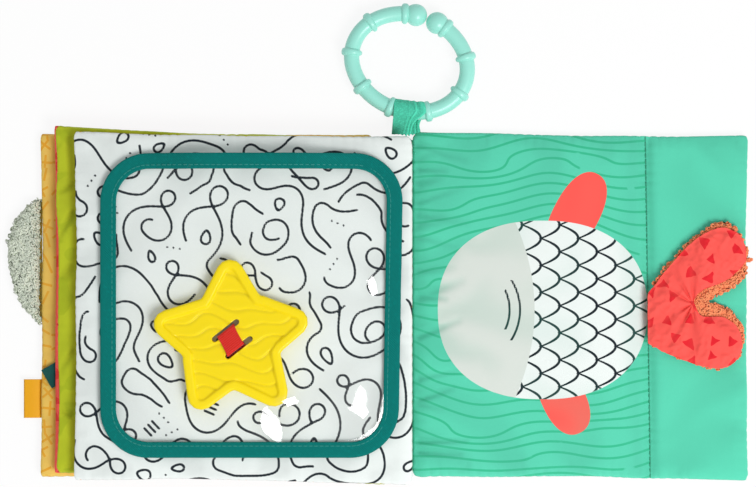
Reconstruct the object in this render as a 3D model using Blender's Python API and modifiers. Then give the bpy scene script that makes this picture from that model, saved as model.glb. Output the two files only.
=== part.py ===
"""Baby's soft book, lying open at its last spread, for Blender 4.5.

Units are metres, +Z is up. The origin is on the underside of the spine, midway along it. +X runs across
the right page and +Y towards the link ring. Three padded leaves lie to the left of the spine, one to the right.
"""

import math
from collections import namedtuple

import bmesh
import bpy
from mathutils import Matrix, Vector
from mathutils.geometry import delaunay_2d_cdt

MM = 0.001

# Cloth and padding
CLOTH_THICKNESS = 0.5 * MM
CLEARANCE = 0.3 * MM
SEAM_HALF_GAP = 0.65 * MM
WADDING_INSET = 2.5 * MM
WADDING_DEPTH_BELOW_CLOTH = 1.0 * MM
WADDING_COLOUR = (0.9, 0.9, 0.88)

# One padded leaf: all four are cut to the same size
PAGE_WIDTH = 161.4 * MM
PAGE_HEIGHT = 167.0 * MM
LEAF_THICKNESS = 6.0 * MM
EDGE_ROUNDING = 7.0 * MM
CORNER_RADIUS = 3.6 * MM
EDGE_DRAW_IN = 0.8 * MM
CROWN_DROP = 0.5 * MM

# Where the leaves sit on the spine: each one that lies higher up bends over the ones below it
BACK_COVER_SET_OFF = 1.8 * MM
LEAF_3_OVERHANG = 0.6 * MM
LEAF_2_SET_BACK = 10.0 * MM
FRONT_COVER_SET_BACK = 17.2 * MM

# How far each leaf lies off square: its middle height at the spine, and how much higher its fore-edge is
BACK_COVER_SHIFT = 0.5 * MM
BACK_COVER_RISE = -1.6 * MM
LEAF_3_SHIFT = -2.1 * MM
LEAF_3_RISE = 2.4 * MM
LEAF_2_SHIFT = -3.5 * MM
LEAF_2_RISE = 7.0 * MM
FRONT_COVER_SHIFT = 0.2 * MM

# Upright seam between the two panels of the right page
PLAIN_PANEL_WIDTH = 48.6 * MM
PANEL_SEAM_X = BACK_COVER_SET_OFF + PAGE_WIDTH - PLAIN_PANEL_WIDTH
PANEL_SEAM_LEAN = 2.4 * MM
PANEL_SEAM_DEPTH = 1.5 * MM
PANEL_SEAM_REACH = 3.5 * MM
FISH_PANEL_CELLS = 4
PLAIN_PANEL_CELLS = 2

# Spine
SPINE_CLOTH_THICKNESS = 1.2 * MM
SPINE_CLOTH_TUCK = 0.4 * MM
SPINE_END_SET_BACK = 3.5 * MM
SPINE_LENGTH = PAGE_HEIGHT - 2 * SPINE_END_SET_BACK
HINGE_CLOTH_THICKNESS = 0.8 * MM
HINGE_CLOTH_LEAN = 0.5 * MM
HINGE_CLOTH_ROWS = 6

# Clear pocket on page 6: its margins on the page, and how far its middle lies off the page's
WINDOW_SIDE_MARGIN = 12.3 * MM
WINDOW_END_MARGIN = 14.7 * MM
WINDOW_WIDTH = PAGE_WIDTH - 2 * WINDOW_SIDE_MARGIN
WINDOW_HEIGHT = PAGE_HEIGHT - 2 * WINDOW_END_MARGIN
WINDOW_OFF_CENTRE_X = 4.6 * MM
WINDOW_OFF_CENTRE_Y = 1.4 * MM
WINDOW_X = LEAF_3_OVERHANG - PAGE_WIDTH / 2 + WINDOW_OFF_CENTRE_X
WINDOW_Y = LEAF_3_SHIFT + LEAF_3_RISE / 2 + WINDOW_OFF_CENTRE_Y
WINDOW_CORNER = 19.5 * MM
WINDOW_TAPER = 2.4 * MM
CORNER_STEPS = 8
SIDE_STEPS = 10
TAPE_WIDTH = 7.6 * MM
TAPE_LEG = 0.5 * MM
TAPE_WEB = 0.8 * MM
FILM_THICKNESS = 0.35 * MM
FILM_LAP = 2.4 * MM
FILM_IN_TAPE = 0.6 * MM
FILM_ABOVE_STAR = 0.5 * MM
FILM_RISE_RUN = 14.0 * MM
FILM_RINGS = (7.0 * MM, 14.0 * MM)
FILM_SPACING = 13.0 * MM
MOUTH_GAPE = 1.4 * MM
MOUTH_GAPE_RUN = 26.0 * MM
MOUTH_PINCH = 20.0 * MM

# Star teether, below and beside the middle of the pocket
STAR_OFF_CENTRE_X = -8.6 * MM
STAR_OFF_CENTRE_Y = -17.0 * MM
STAR_X = WINDOW_X + STAR_OFF_CENTRE_X
STAR_Y = WINDOW_Y + STAR_OFF_CENTRE_Y
STAR_TIP_RADIUS = 37.9 * MM
STAR_NOTCH_RADIUS = 24.4 * MM
STAR_TIP_ROUNDING = 6.7 * MM
STAR_NOTCH_ROUNDING = 2.4 * MM
STAR_THICKNESS = 5.0 * MM
STAR_RIM_WIDTH = 4.2 * MM
STAR_RECESS = 1.0 * MM
STAR_EDGE_BEVEL = 1.1 * MM
STAR_TIP_STEPS = 4
STAR_TIP_SPREAD = 60
STAR_NOTCH_STEPS = 2
STAR_NOTCH_SPREAD = 40
STAR_TIP_ANGLES = (92.8, 17.8, -51.7, -120.4, -194.8)
STAR_TIP_SHARES = (1.03, 0.975, 0.995, 0.97, 1.03)
STAR_NOTCH_ANGLES = (60.0, -14.0, -89.0, -163.0, -233.0)
STAR_NOTCH_SHARES = (1.04, 0.95, 0.95, 1.03, 1.04)

# Slots in the star and the ribbon through them
SLOT_LENGTH = 16.0 * MM
SLOT_WIDTH = 2.6 * MM
SLOT_SPACING = 10.3 * MM
SLOT_ANGLE = 38.4
SLOTS_OFF_CENTRE_X = -0.5 * MM
SLOTS_OFF_CENTRE_Y = 1.1 * MM
RIBBON_WIDTH = 10.0 * MM
RIBBON_THICKNESS = 0.5 * MM
RIBBON_SKEW = 1.9 * MM
RIBBON_CORNER = 0.7 * MM
TETHER_LENGTH = 24.0 * MM
CUTTER_REACH = 4.0 * MM

# Tail
TAIL_LENGTH = 46.0 * MM
TAIL_SPAN = 67.2 * MM
TAIL_MIDDLE_Y = 3.8 * MM
TAIL_ROOT_SET_OUT = 0.2 * MM
TAIL_SHERPA_THICKNESS = 2.4 * MM
TAIL_SHERPA_SPACING = 7.0 * MM
TAIL_CROWN = 3.6 * MM
TAIL_CROWN_RIM = 0.7 * MM
TAIL_ROUNDING = 8.0 * MM
TAIL_SPACING = 5.2 * MM
TAIL_WADDING_INSET = 2.2 * MM
TAIL_WADDING_SPACING = 6.4 * MM
TAIL_OUTLINE_STEPS = 3
TAIL_ROOT_PIECES = 5
# Outlines from the root out and round to the root: shares of TAIL_LENGTH outwards and of TAIL_SPAN up
TAIL_FRONT_SHARES = (
    (0.02, 0.02), (0.23, 0.23), (0.48, 0.41), (0.76, 0.50), (0.95, 0.43), (1.0, 0.27),
    (0.82, 0.14), (0.52, 0.05), (0.455, -0.04), (0.54, -0.135), (0.76, -0.14), (0.93, -0.23),
    (0.955, -0.37), (0.82, -0.485), (0.58, -0.485), (0.23, -0.395), (0.04, -0.32),
)  # fmt: skip
TAIL_BACK_SHARES = (
    (0.01, 0.06), (0.145, 0.20), (0.38, 0.385), (0.52, 0.455), (0.725, 0.545), (0.915, 0.50),
    (1.02, 0.36), (1.05, 0.255), (0.95, 0.11), (0.735, 0.02), (0.64, -0.03), (0.82, -0.07),
    (0.98, -0.185), (1.0, -0.275), (0.985, -0.345), (0.925, -0.435), (0.82, -0.50),
    (0.665, -0.51), (0.405, -0.457), (0.11, -0.37), (0.02, -0.332),
)  # fmt: skip
TAIL_RIM_SHARE = 0.45

# Link ring
RING_LONG_RADIUS = 28.4 * MM
RING_SHORT_RADIUS = 23.1 * MM
RING_CENTRE_X = -0.2 * MM
RING_HANG = 0.55 * MM
RING_TILT = -19.6
RING_TUBE_RADIUS = 3.6 * MM
RING_COLLAR_RADIUS = 5.0 * MM
RING_COLLAR_WIDTH = 2.3 * MM
RING_BALL_RADIUS = 5.2 * MM
RING_FIRST_BALL_ANGLE = 77.6
RING_LAST_BALL_ANGLE = -260.3
RING_COLLAR_ANGLES = (67.9, 30.1, -14.3, -55.3, -93.3, -128.1, -168.9, -211.6, -249.4)
RING_STEPS_BETWEEN_COLLARS = 3
RING_BALL_ANGLES = (15, 40, 65, 90, 115, 136)
# Across a collar: shares of half its width along the ring, and of its rise above the tube
RING_COLLAR_SHARES = ((-1.0, 0.0), (-0.7, 1.0), (0.7, 1.0), (1.0, 0.0))

# Ribbon loop that carries the ring
LOOP_WIDTH = 12.4 * MM
LOOP_ROOT_WIDTH = 11.4 * MM
LOOP_MIDDLE_X = -0.1 * MM
LOOP_ROOT_X = -3.9 * MM
LOOP_EYE_STAND_OFF = 10.4 * MM
LOOP_EYE_Y = PAGE_HEIGHT / 2 + LOOP_EYE_STAND_OFF
LOOP_EYE_RADIUS = 5.0 * MM
LOOP_TUCK = 1.5 * MM
LOOP_ROOT_Y = PAGE_HEIGHT / 2 - LOOP_TUCK
LOOP_ROOT_Z = 3.2 * MM
LOOP_STEPS = 14
LOOP_THICKNESS = 0.6 * MM
LOOP_EYE_HEIGHT = LOOP_EYE_RADIUS + LOOP_THICKNESS

# Plush flap and tabs on the front cover
FORE_EDGE_X = -FRONT_COVER_SET_BACK - PAGE_WIDTH
FLAP_CHORD = 59.4 * MM
FLAP_DEPTH = 15.4 * MM
FLAP_STAND_OFF = 0.4 * MM
FLAP_ROOT_X = FORE_EDGE_X - FLAP_STAND_OFF
FLAP_MIDDLE_Y = 21.2 * MM
FLAP_SHERPA_THICKNESS = 5.2 * MM
FLAP_RIM_SHARE = 0.4
FLAP_BACKING_THICKNESS = 0.6 * MM
FLAP_BACKING_INSET = 0.6 * MM
FLAP_TUCK = 1.4 * MM
FLAP_ROUNDING = 5.0 * MM
FLAP_SPACING = 6.0 * MM
FLAP_OUTLINE_STEPS = 4
FLAP_ROOT_PIECES = 9
# Outline from the chord's top end out and round: shares of FLAP_DEPTH outwards and of FLAP_CHORD up
FLAP_SHARES = (
    (0.0, 0.50), (0.47, 0.415), (0.85, 0.25), (0.96, 0.07), (0.85, -0.13), (0.60, -0.33),
    (0.27, -0.43), (0.0, -0.50),
)  # fmt: skip
LABEL_TUCK = 0.1 * MM
LABEL_LENGTH = 7.5 * MM
LABEL_HEIGHT = 18.6 * MM
LABEL_Y = -44.8 * MM
LABEL_THICKNESS = 0.8 * MM
TEAL_TAB_ANGLE = 31.0
TEAL_TAB_WIDTH = 10.0 * MM
TEAL_TAB_THICKNESS = 0.5 * MM
TEAL_TAB_SET_IN = 3.8 * MM
TEAL_TAB_END_Y = -35.4 * MM
TEAL_TAB_TUCK = 2.4 * MM

# Graded grid lines, as shares of EDGE_ROUNDING in from an edge
EDGE_LINE_SHARES = (0.0, 0.12, 0.4, 1.0)
# The same beside the panel seam, as shares of PANEL_SEAM_REACH
SEAM_LINE_SHARES = (0.0, 0.6, 1.5)
INNER_CELLS = 5
# Rings of points that follow a pad's rim, as shares of its rounding
PAD_RING_SHARES = (0.14, 0.5)

Leaf = namedtuple("Leaf", "side set_out shift rise layer")
BACK_COVER = Leaf(1, BACK_COVER_SET_OFF, BACK_COVER_SHIFT, BACK_COVER_RISE, 0)
FRONT_COVER = Leaf(-1, FRONT_COVER_SET_BACK, FRONT_COVER_SHIFT, 0.0, 0)
LEAF_2 = Leaf(-1, LEAF_2_SET_BACK, LEAF_2_SHIFT, LEAF_2_RISE, 1)
LEAF_3 = Leaf(-1, -LEAF_3_OVERHANG, LEAF_3_SHIFT, LEAF_3_RISE, 2)

# Heights in the stack: the tail on the back cover, the star on leaf 3, the film over the star
TAIL_SEAT = LEAF_THICKNESS + CLEARANCE
TAIL_TOP = TAIL_SEAT + TAIL_SHERPA_THICKNESS + CLEARANCE + TAIL_CROWN
PAGE_6_TOP = LEAF_3.layer * (LEAF_THICKNESS + CLEARANCE) + LEAF_THICKNESS
STAR_BOTTOM = PAGE_6_TOP + 2 * CLEARANCE + RIBBON_THICKNESS
FILM_BOTTOM = STAR_BOTTOM + STAR_THICKNESS + FILM_ABOVE_STAR
FILM_RISE = FILM_BOTTOM - PAGE_6_TOP - CLEARANCE - TAPE_LEG - FILM_IN_TAPE

# Axes that the leaves turn about: midway between where a leaf lies open and where it lies on the back cover
CLOSED_PLAY = 0.25 * MM
TURN_HEIGHT = (FILM_BOTTOM + FILM_THICKNESS + TAIL_TOP + CLOSED_PLAY) / 2


# Scene, materials and small helpers


def clear_scene():
    for obj in list(bpy.data.objects):
        bpy.data.objects.remove(obj, do_unlink=True)


def new_collection(name, hidden=False):
    made = bpy.data.collections.new(name)
    bpy.context.scene.collection.children.link(made)
    made.hide_render = hidden
    return made


def material(name, colour, roughness, metallic=0.0, alpha=1.0):
    made = bpy.data.materials.new(name)
    made.use_nodes = True
    shader = made.node_tree.nodes["Principled BSDF"]
    shader.inputs["Base Color"].default_value = (*colour, 1.0)
    shader.inputs["Roughness"].default_value = roughness
    shader.inputs["Metallic"].default_value = metallic
    shader.inputs["Alpha"].default_value = alpha
    made.diffuse_color = (*colour, alpha)
    return made


def mesh_object(name, bm, mat, collection):
    bmesh.ops.recalc_face_normals(bm, faces=bm.faces)
    mesh = bpy.data.meshes.new(name)
    bm.to_mesh(mesh)
    bm.free()
    obj = bpy.data.objects.new(name, mesh)
    collection.objects.link(obj)
    if mat:
        mesh.materials.append(mat)
    mesh.shade_smooth()
    mesh.set_sharp_from_angle(angle=math.radians(40))
    return obj


def as_cutter(obj):
    obj.hide_render = True
    obj.display_type = "WIRE"
    return obj


def cut(obj, cutter):
    modifier = obj.modifiers.new("Cut " + cutter.name, "BOOLEAN")
    modifier.operation = "DIFFERENCE"
    modifier.object = as_cutter(cutter)


def smooth_step(x):
    x = min(1.0, max(0.0, x))
    return x * x * (3 - 2 * x)


def swell(distance, rounding):
    """Share of the full height that a padded form has this far in from its edge."""
    share = min(1.0, max(0.0, distance / rounding))
    return math.sqrt(max(0.0, 1 - (1 - share) ** 2))


# The padded leaf: a rectangle with drawn-in sides, round corners and a soft crown


def leaf_base(leaf):
    return leaf.layer * (LEAF_THICKNESS + CLEARANCE)


def leaf_middle_x(leaf):
    return leaf.side * (leaf.set_out + PAGE_WIDTH / 2)


def leaf_middle_y(leaf, u):
    return leaf.shift + leaf.rise * (u + 1) / 2


def round_corner(x, y, half_x, half_y, radius):
    """Pulls a point of a rectangle's grid in, so that the corners turn with this radius."""
    over_x = (abs(x) - (half_x - radius)) / radius
    over_y = (abs(y) - (half_y - radius)) / radius
    if over_x <= 0 or over_y <= 0:
        return x, y
    in_x = over_x * math.sqrt(1 - over_y**2 / 2)
    in_y = over_y * math.sqrt(1 - over_x**2 / 2)
    return (
        math.copysign(half_x - radius + in_x * radius, x),
        math.copysign(half_y - radius + in_y * radius, y),
    )


def leaf_plan(leaf, u, v):
    """Place of the point (u, v): u runs from -1 at the spine to 1 at the fore-edge, v from -1 to 1 up the page."""
    half_x = PAGE_WIDTH / 2 - EDGE_DRAW_IN * (1 - v * v)
    half_y = PAGE_HEIGHT / 2 - EDGE_DRAW_IN * (1 - u * u)
    x, y = round_corner(u * half_x, v * half_y, half_x, half_y, CORNER_RADIUS)
    return leaf_middle_x(leaf) + leaf.side * x, leaf_middle_y(leaf, u) + y


def leaf_swell(u, v):
    return swell((1 - abs(u)) * PAGE_WIDTH / 2, EDGE_ROUNDING) * swell(
        (1 - abs(v)) * PAGE_HEIGHT / 2, EDGE_ROUNDING
    )


def seam_u(v):
    middle = PANEL_SEAM_X - PANEL_SEAM_LEAN * v / 2 - leaf_middle_x(BACK_COVER)
    return middle / (PAGE_WIDTH / 2 - EDGE_DRAW_IN * (1 - v * v))


def seam_dip(leaf, u, v):
    if leaf is not BACK_COVER:
        return 0.0
    away = (u - seam_u(v)) * PAGE_WIDTH / 2
    return PANEL_SEAM_DEPTH * math.exp(-((away / PANEL_SEAM_REACH) ** 2))


def leaf_top(leaf, u, v):
    crown = CROWN_DROP * (1 - (1 - u * u) * (1 - v * v))
    full = LEAF_THICKNESS / 2 - SEAM_HALF_GAP - crown - seam_dip(leaf, u, v)
    return leaf_base(leaf) + LEAF_THICKNESS / 2 + SEAM_HALF_GAP + full * leaf_swell(u, v)


def leaf_bottom(leaf, u, v):
    full = LEAF_THICKNESS / 2 - SEAM_HALF_GAP
    return leaf_base(leaf) + LEAF_THICKNESS / 2 - SEAM_HALF_GAP - full * leaf_swell(u, v)


def page_height(leaf, x, y):
    """Height of the leaf's upper cloth at a place well inside the page."""
    u = leaf.side * (x - leaf_middle_x(leaf)) / (PAGE_WIDTH / 2)
    v = (y - leaf_middle_y(leaf, u)) / (PAGE_HEIGHT / 2)
    return leaf_top(leaf, u, v)


def graded(low, high, low_lines, high_lines, cells):
    """Grid lines from low to high: close together near the ends, even between."""
    inner_low, inner_high = low + low_lines[-1], high - high_lines[-1]
    lines = [low + step for step in low_lines]
    lines += [
        inner_low + (inner_high - inner_low) * i / cells for i in range(1, cells)
    ]
    return lines + [high - step for step in reversed(high_lines)]


def edge_lines(length):
    return [share * EDGE_ROUNDING / (length / 2) for share in EDGE_LINE_SHARES]


def grid(us, vs, place):
    """A grid of faces whose point (i, j) stands at place(us[i], vs[j])."""
    bm = bmesh.new()
    columns, rows = len(us) - 1, len(vs) - 1
    bmesh.ops.create_grid(bm, x_segments=columns, y_segments=rows, size=1)
    for vert in bm.verts:
        i = round((vert.co.x + 1) / 2 * columns)
        j = round((vert.co.y + 1) / 2 * rows)
        vert.co = place(us[i], vs[j])
    return bm


def solidify(obj, thickness):
    modifier = obj.modifiers.new("Cloth", "SOLIDIFY")
    modifier.thickness = thickness
    modifier.offset = -1


def facing(bm, axis, positive=True):
    """Turns the faces so that as a whole they look along the axis, or against it."""
    bm.normal_update()
    total = sum(face.normal[axis] * face.calc_area() for face in bm.faces)
    if (total > 0) != positive:
        bmesh.ops.reverse_faces(bm, faces=bm.faces)


def open_sheet(name, bm, thickness, mat, collection):
    """Open surface that Solidify thickens to the side away from its normals."""
    mesh = bpy.data.meshes.new(name)
    bm.to_mesh(mesh)
    bm.free()
    obj = bpy.data.objects.new(name, mesh)
    collection.objects.link(obj)
    mesh.materials.append(mat)
    mesh.shade_smooth()
    solidify(obj, thickness)
    return obj


def closed_pad(name, upper, lower, mat, collection):
    """Joins two sheets with matching rims into one closed body."""
    bm = bmesh.new()
    for sheet in (upper, lower):
        mesh = bpy.data.meshes.new(name)
        sheet.to_mesh(mesh)
        sheet.free()
        bm.from_mesh(mesh)
        bpy.data.meshes.remove(mesh)
    rims = [edge for edge in bm.edges if edge.is_boundary]
    bmesh.ops.bridge_loops(bm, edges=rims)
    return mesh_object(name, bm, mat, collection)


def box(name, low, high, mat, collection):
    bm = bmesh.new()
    bmesh.ops.create_cube(bm, size=1)
    low, high = Vector(low), Vector(high)
    bmesh.ops.scale(bm, vec=high - low, verts=bm.verts)
    obj = mesh_object(name, bm, mat, collection)
    obj.location = (low + high) / 2
    return obj


def meshed(obj, mat, collection):
    """The curve object as a mesh object, with its caps welded."""
    bpy.context.view_layer.update()
    graph = bpy.context.evaluated_depsgraph_get()
    mesh = bpy.data.meshes.new_from_object(obj.evaluated_get(graph))
    bm = bmesh.new()
    bm.from_mesh(mesh)
    bpy.data.meshes.remove(mesh)
    bmesh.ops.remove_doubles(bm, verts=bm.verts, dist=CLEARANCE / 300)
    name, placed, curve = obj.name, obj.matrix_world.copy(), obj.data
    bpy.data.objects.remove(obj)
    bpy.data.curves.remove(curve)
    made = mesh_object(name, bm, mat, collection)
    made.matrix_world = placed
    return made


def plate(name, outlines, thickness, bottom, mat, collection):
    """Flat plate with one outer outline and any holes, from a filled 2D curve."""
    curve = bpy.data.curves.new(name, "CURVE")
    curve.dimensions = "2D"
    curve.fill_mode = "BOTH"
    curve.extrude = thickness / 2
    for outline in outlines:
        spline = curve.splines.new("POLY")
        spline.points.add(len(outline) - 1)
        for spot, point in zip(spline.points, outline):
            spot.co = (point[0], point[1], 0, 1)
        spline.use_cyclic_u = True
    obj = bpy.data.objects.new(name, curve)
    obj.location.z = bottom + thickness / 2
    collection.objects.link(obj)
    return meshed(obj, mat, collection)


def whole_caps(obj):
    """Makes each flat cap of a plate one face again, so that a bevel runs evenly round it."""
    bm = bmesh.new()
    bm.from_mesh(obj.data)
    bmesh.ops.dissolve_limit(bm, angle_limit=math.radians(1), verts=bm.verts, edges=bm.edges)
    bm.to_mesh(obj.data)
    bm.free()


def reshape(obj, move):
    """Moves each point of the object's mesh to move(point), with the object at the origin."""
    obj.matrix_world = Matrix.Identity(4)
    for vert in obj.data.vertices:
        vert.co = move(vert.co)


def on_axis(name, place, pieces, collection):
    """An empty on a joint's axis, with the pieces that turn or slide with it as its children."""
    empty = bpy.data.objects.new(name, None)
    empty.location = place
    collection.objects.link(empty)
    bpy.context.view_layer.update()
    for piece in pieces:
        piece.parent = empty
        piece.matrix_parent_inverse = empty.matrix_world.inverted()
    return empty


# Cloths and wadding of a leaf


def along(low, high, u):
    """Where u, from -1 to 1, lies between low and high."""
    return low + (high - low) * (u + 1) / 2


def leaf_cloth(name, leaf, upper, mat, collection, us=None, warp=None):
    """One cloth of a leaf. A panel that covers part of it has its own grid lines, and warp(u, v) places them."""
    us = us or graded(-1, 1, edge_lines(PAGE_WIDTH), edge_lines(PAGE_WIDTH), INNER_CELLS)
    vs = graded(-1, 1, edge_lines(PAGE_HEIGHT), edge_lines(PAGE_HEIGHT), INNER_CELLS)
    height = leaf_top if upper else leaf_bottom

    def place(u, v):
        u = warp(u, v) if warp else u
        return (*leaf_plan(leaf, u, v), height(leaf, u, v))

    bm = grid(us, vs, place)
    facing(bm, 2, upper)
    return open_sheet(name, bm, CLOTH_THICKNESS, mat, collection)


def inset_lines(length):
    """Grid lines at an edge of the wadding, whose rim is set in from the cloth's."""
    step_in = WADDING_INSET / (length / 2)
    return step_in, [0.0] + [step - step_in for step in edge_lines(length) if step > step_in]


def leaf_wadding(name, leaf, mat, collection, us=None, warp=None):
    step_in, lines = inset_lines(PAGE_WIDTH)
    us = us or graded(step_in - 1, 1 - step_in, lines, lines, INNER_CELLS)
    step_in, lines = inset_lines(PAGE_HEIGHT)
    vs = graded(step_in - 1, 1 - step_in, lines, lines, INNER_CELLS)

    def surface(height, drop):
        def place(u, v):
            u = warp(u, v) if warp else u
            return (*leaf_plan(leaf, u, v), height(leaf, u, v) - drop)

        return grid(us, vs, place)

    upper = surface(leaf_top, WADDING_DEPTH_BELOW_CLOTH)
    lower = surface(leaf_bottom, -WADDING_DEPTH_BELOW_CLOTH)
    return closed_pad(name, upper, lower, mat, collection)


def build_leaf(leaf, names, looks, collection):
    """A whole padded leaf: upper cloth, lower cloth, wadding."""
    upper, lower, wadding = names
    filling = material("Wadding of " + wadding.removesuffix("_wadding"), WADDING_COLOUR, 1.0)
    return [
        leaf_cloth(upper, leaf, True, looks[0], collection),
        leaf_cloth(lower, leaf, False, looks[1], collection),
        leaf_wadding(wadding, leaf, filling, collection),
    ]


def seam_lines(length):
    return [share * PANEL_SEAM_REACH / (length / 2) for share in SEAM_LINE_SHARES]


def build_back_cover(collection):
    """The right leaf, whose upper cloth is two panels joined in an upright seam."""
    outer = material("Turquoise cloth, outer", (0.11, 0.70, 0.50), 0.85)
    printed = material("Turquoise cloth, printed", (0.11, 0.71, 0.48), 0.8)
    plain = material("Turquoise cloth, plain", (0.12, 0.72, 0.49), 0.8)
    wadding = material("Wadding of back_cover", WADDING_COLOUR, 1.0)
    half_gap = CLEARANCE / PAGE_WIDTH
    fish_width = PANEL_SEAM_X - BACK_COVER_SET_OFF
    plain_width = PAGE_WIDTH - fish_width
    at_seam, past_seam = seam_lines(fish_width), seam_lines(plain_width)

    leaf_cloth("back_cover_outer_cloth", BACK_COVER, False, outer, collection)
    us = graded(-1, 1, edge_lines(fish_width), at_seam, FISH_PANEL_CELLS)
    leaf_cloth(
        "fish_panel_cloth", BACK_COVER, True, printed, collection, us,
        lambda u, v: along(-1, seam_u(v) - half_gap, u),
    )  # fmt: skip
    us = graded(-1, 1, past_seam, edge_lines(plain_width), PLAIN_PANEL_CELLS)
    leaf_cloth(
        "plain_panel_cloth", BACK_COVER, True, plain, collection, us,
        lambda u, v: along(seam_u(v) + half_gap, 1, u),
    )  # fmt: skip

    # The wadding's grid runs from -1 to 1 under the first panel and from 1 to 3 under the second.
    step_in, lines = inset_lines(fish_width)
    us = graded(step_in - 1, 1, lines, at_seam, FISH_PANEL_CELLS)
    step_in, lines = inset_lines(plain_width)
    us += [u + 2 for u in graded(-1, 1 - step_in, past_seam, lines, PLAIN_PANEL_CELLS)[1:]]

    def halves(u, v):
        return along(-1, seam_u(v), u) if u <= 1 else along(seam_u(v), 1, u - 2)

    leaf_wadding("back_cover_wadding", BACK_COVER, wadding, collection, us, halves)


# Outlines, and the pads made from them


def through(points, steps):
    """Smooth line through the points, with this many steps between each two."""
    line = []
    for i in range(len(points) - 1):
        before, start = Vector(points[max(0, i - 1)]), Vector(points[i])
        end, after = Vector(points[i + 1]), Vector(points[min(len(points) - 1, i + 2)])
        for k in range(steps):
            t = k / steps
            first = (end - before) * t
            second = (2 * before - 5 * start + 4 * end - after) * t**2
            third = (3 * start - before - 3 * end + after) * t**3
            line.append(start + (first + second + third) / 2)
    return line + [Vector(points[-1])]


def closed_by_line(line, pieces):
    """The open line closed by a straight run in this many pieces."""
    last, first = line[-1], line[0]
    return line + [last.lerp(first, i / pieces) for i in range(1, pieces)]


def shaped(shares, corner, length, height):
    return [(corner[0] + length * out, corner[1] + height * up) for out, up in shares]


def area_of(outline):
    turned = zip(outline, outline[1:] + outline[:1])
    return sum(a.x * b.y - b.x * a.y for a, b in turned) / 2


def inset(outline, distance):
    """The outline moved inwards by a distance."""
    side = math.copysign(1, area_of(outline))
    moved = []
    for i, point in enumerate(outline):
        before = (point - outline[i - 1]).normalized()
        after = (outline[(i + 1) % len(outline)] - point).normalized()
        normal = (Vector((-before.y - after.y, before.x + after.x)) * side).normalized()
        lean = max(0.5, abs(normal.x * after.y - normal.y * after.x))
        moved.append(point + normal * distance / lean)
    return moved


def distance_to(outline, point):
    nearest = math.inf
    for a, b in zip(outline, outline[1:] + outline[:1]):
        edge = b - a
        t = min(1.0, max(0.0, (point - a).dot(edge) / edge.length_squared))
        nearest = min(nearest, (point - a - edge * t).length)
    return nearest


def inside(outline, point):
    hit = False
    for a, b in zip(outline, outline[1:] + outline[:1]):
        if (a.y > point.y) != (b.y > point.y):
            if point.x < a.x + (point.y - a.y) / (b.y - a.y) * (b.x - a.x):
                hit = not hit
    return hit


def flat_mesh(outline, steps, spacing):
    """Points and triangles that fill an outline, with rings of points at these steps in from its rim."""
    points = list(outline)
    for step in steps:
        for point in inset(outline, step):
            crowded = min((point - other).length for other in points) < min(step, spacing) / 4
            if inside(outline, point) and distance_to(outline, point) > 0.9 * step:
                if not crowded:
                    points.append(point)
    low = Vector((min(p.x for p in outline), min(p.y for p in outline)))
    high = Vector((max(p.x for p in outline), max(p.y for p in outline)))
    deep = steps[-1] + 0.4 * spacing
    for j in range(int((high.y - low.y) / spacing) + 1):
        for i in range(int((high.x - low.x) / spacing) + 1):
            point = low + spacing * Vector((i + 0.5 * (j % 2), j + 0.5))
            if inside(outline, point) and distance_to(outline, point) > deep:
                points.append(point)
    rim = [(i, (i + 1) % len(outline)) for i in range(len(outline))]
    filled = delaunay_2d_cdt(points, rim, [], 1, CLEARANCE / 1000)
    return filled[0], filled[2]


def pad_steps(rounding):
    return [share * rounding for share in PAD_RING_SHARES]


def raised(flat, height):
    """A sheet over a flat mesh, at height(point)."""
    points, faces = flat
    bm = bmesh.new()
    verts = [bm.verts.new((p.x, p.y, height(p))) for p in points]
    for face in faces:
        bm.faces.new([verts[i] for i in face])
    return bm


# Tail


def tail_outline(shares):
    corner = (PANEL_SEAM_X + TAIL_ROOT_SET_OUT, TAIL_MIDDLE_Y)
    line = through(shaped(shares, corner, TAIL_LENGTH, TAIL_SPAN), TAIL_OUTLINE_STEPS)
    return closed_by_line(line, TAIL_ROOT_PIECES)


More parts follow.
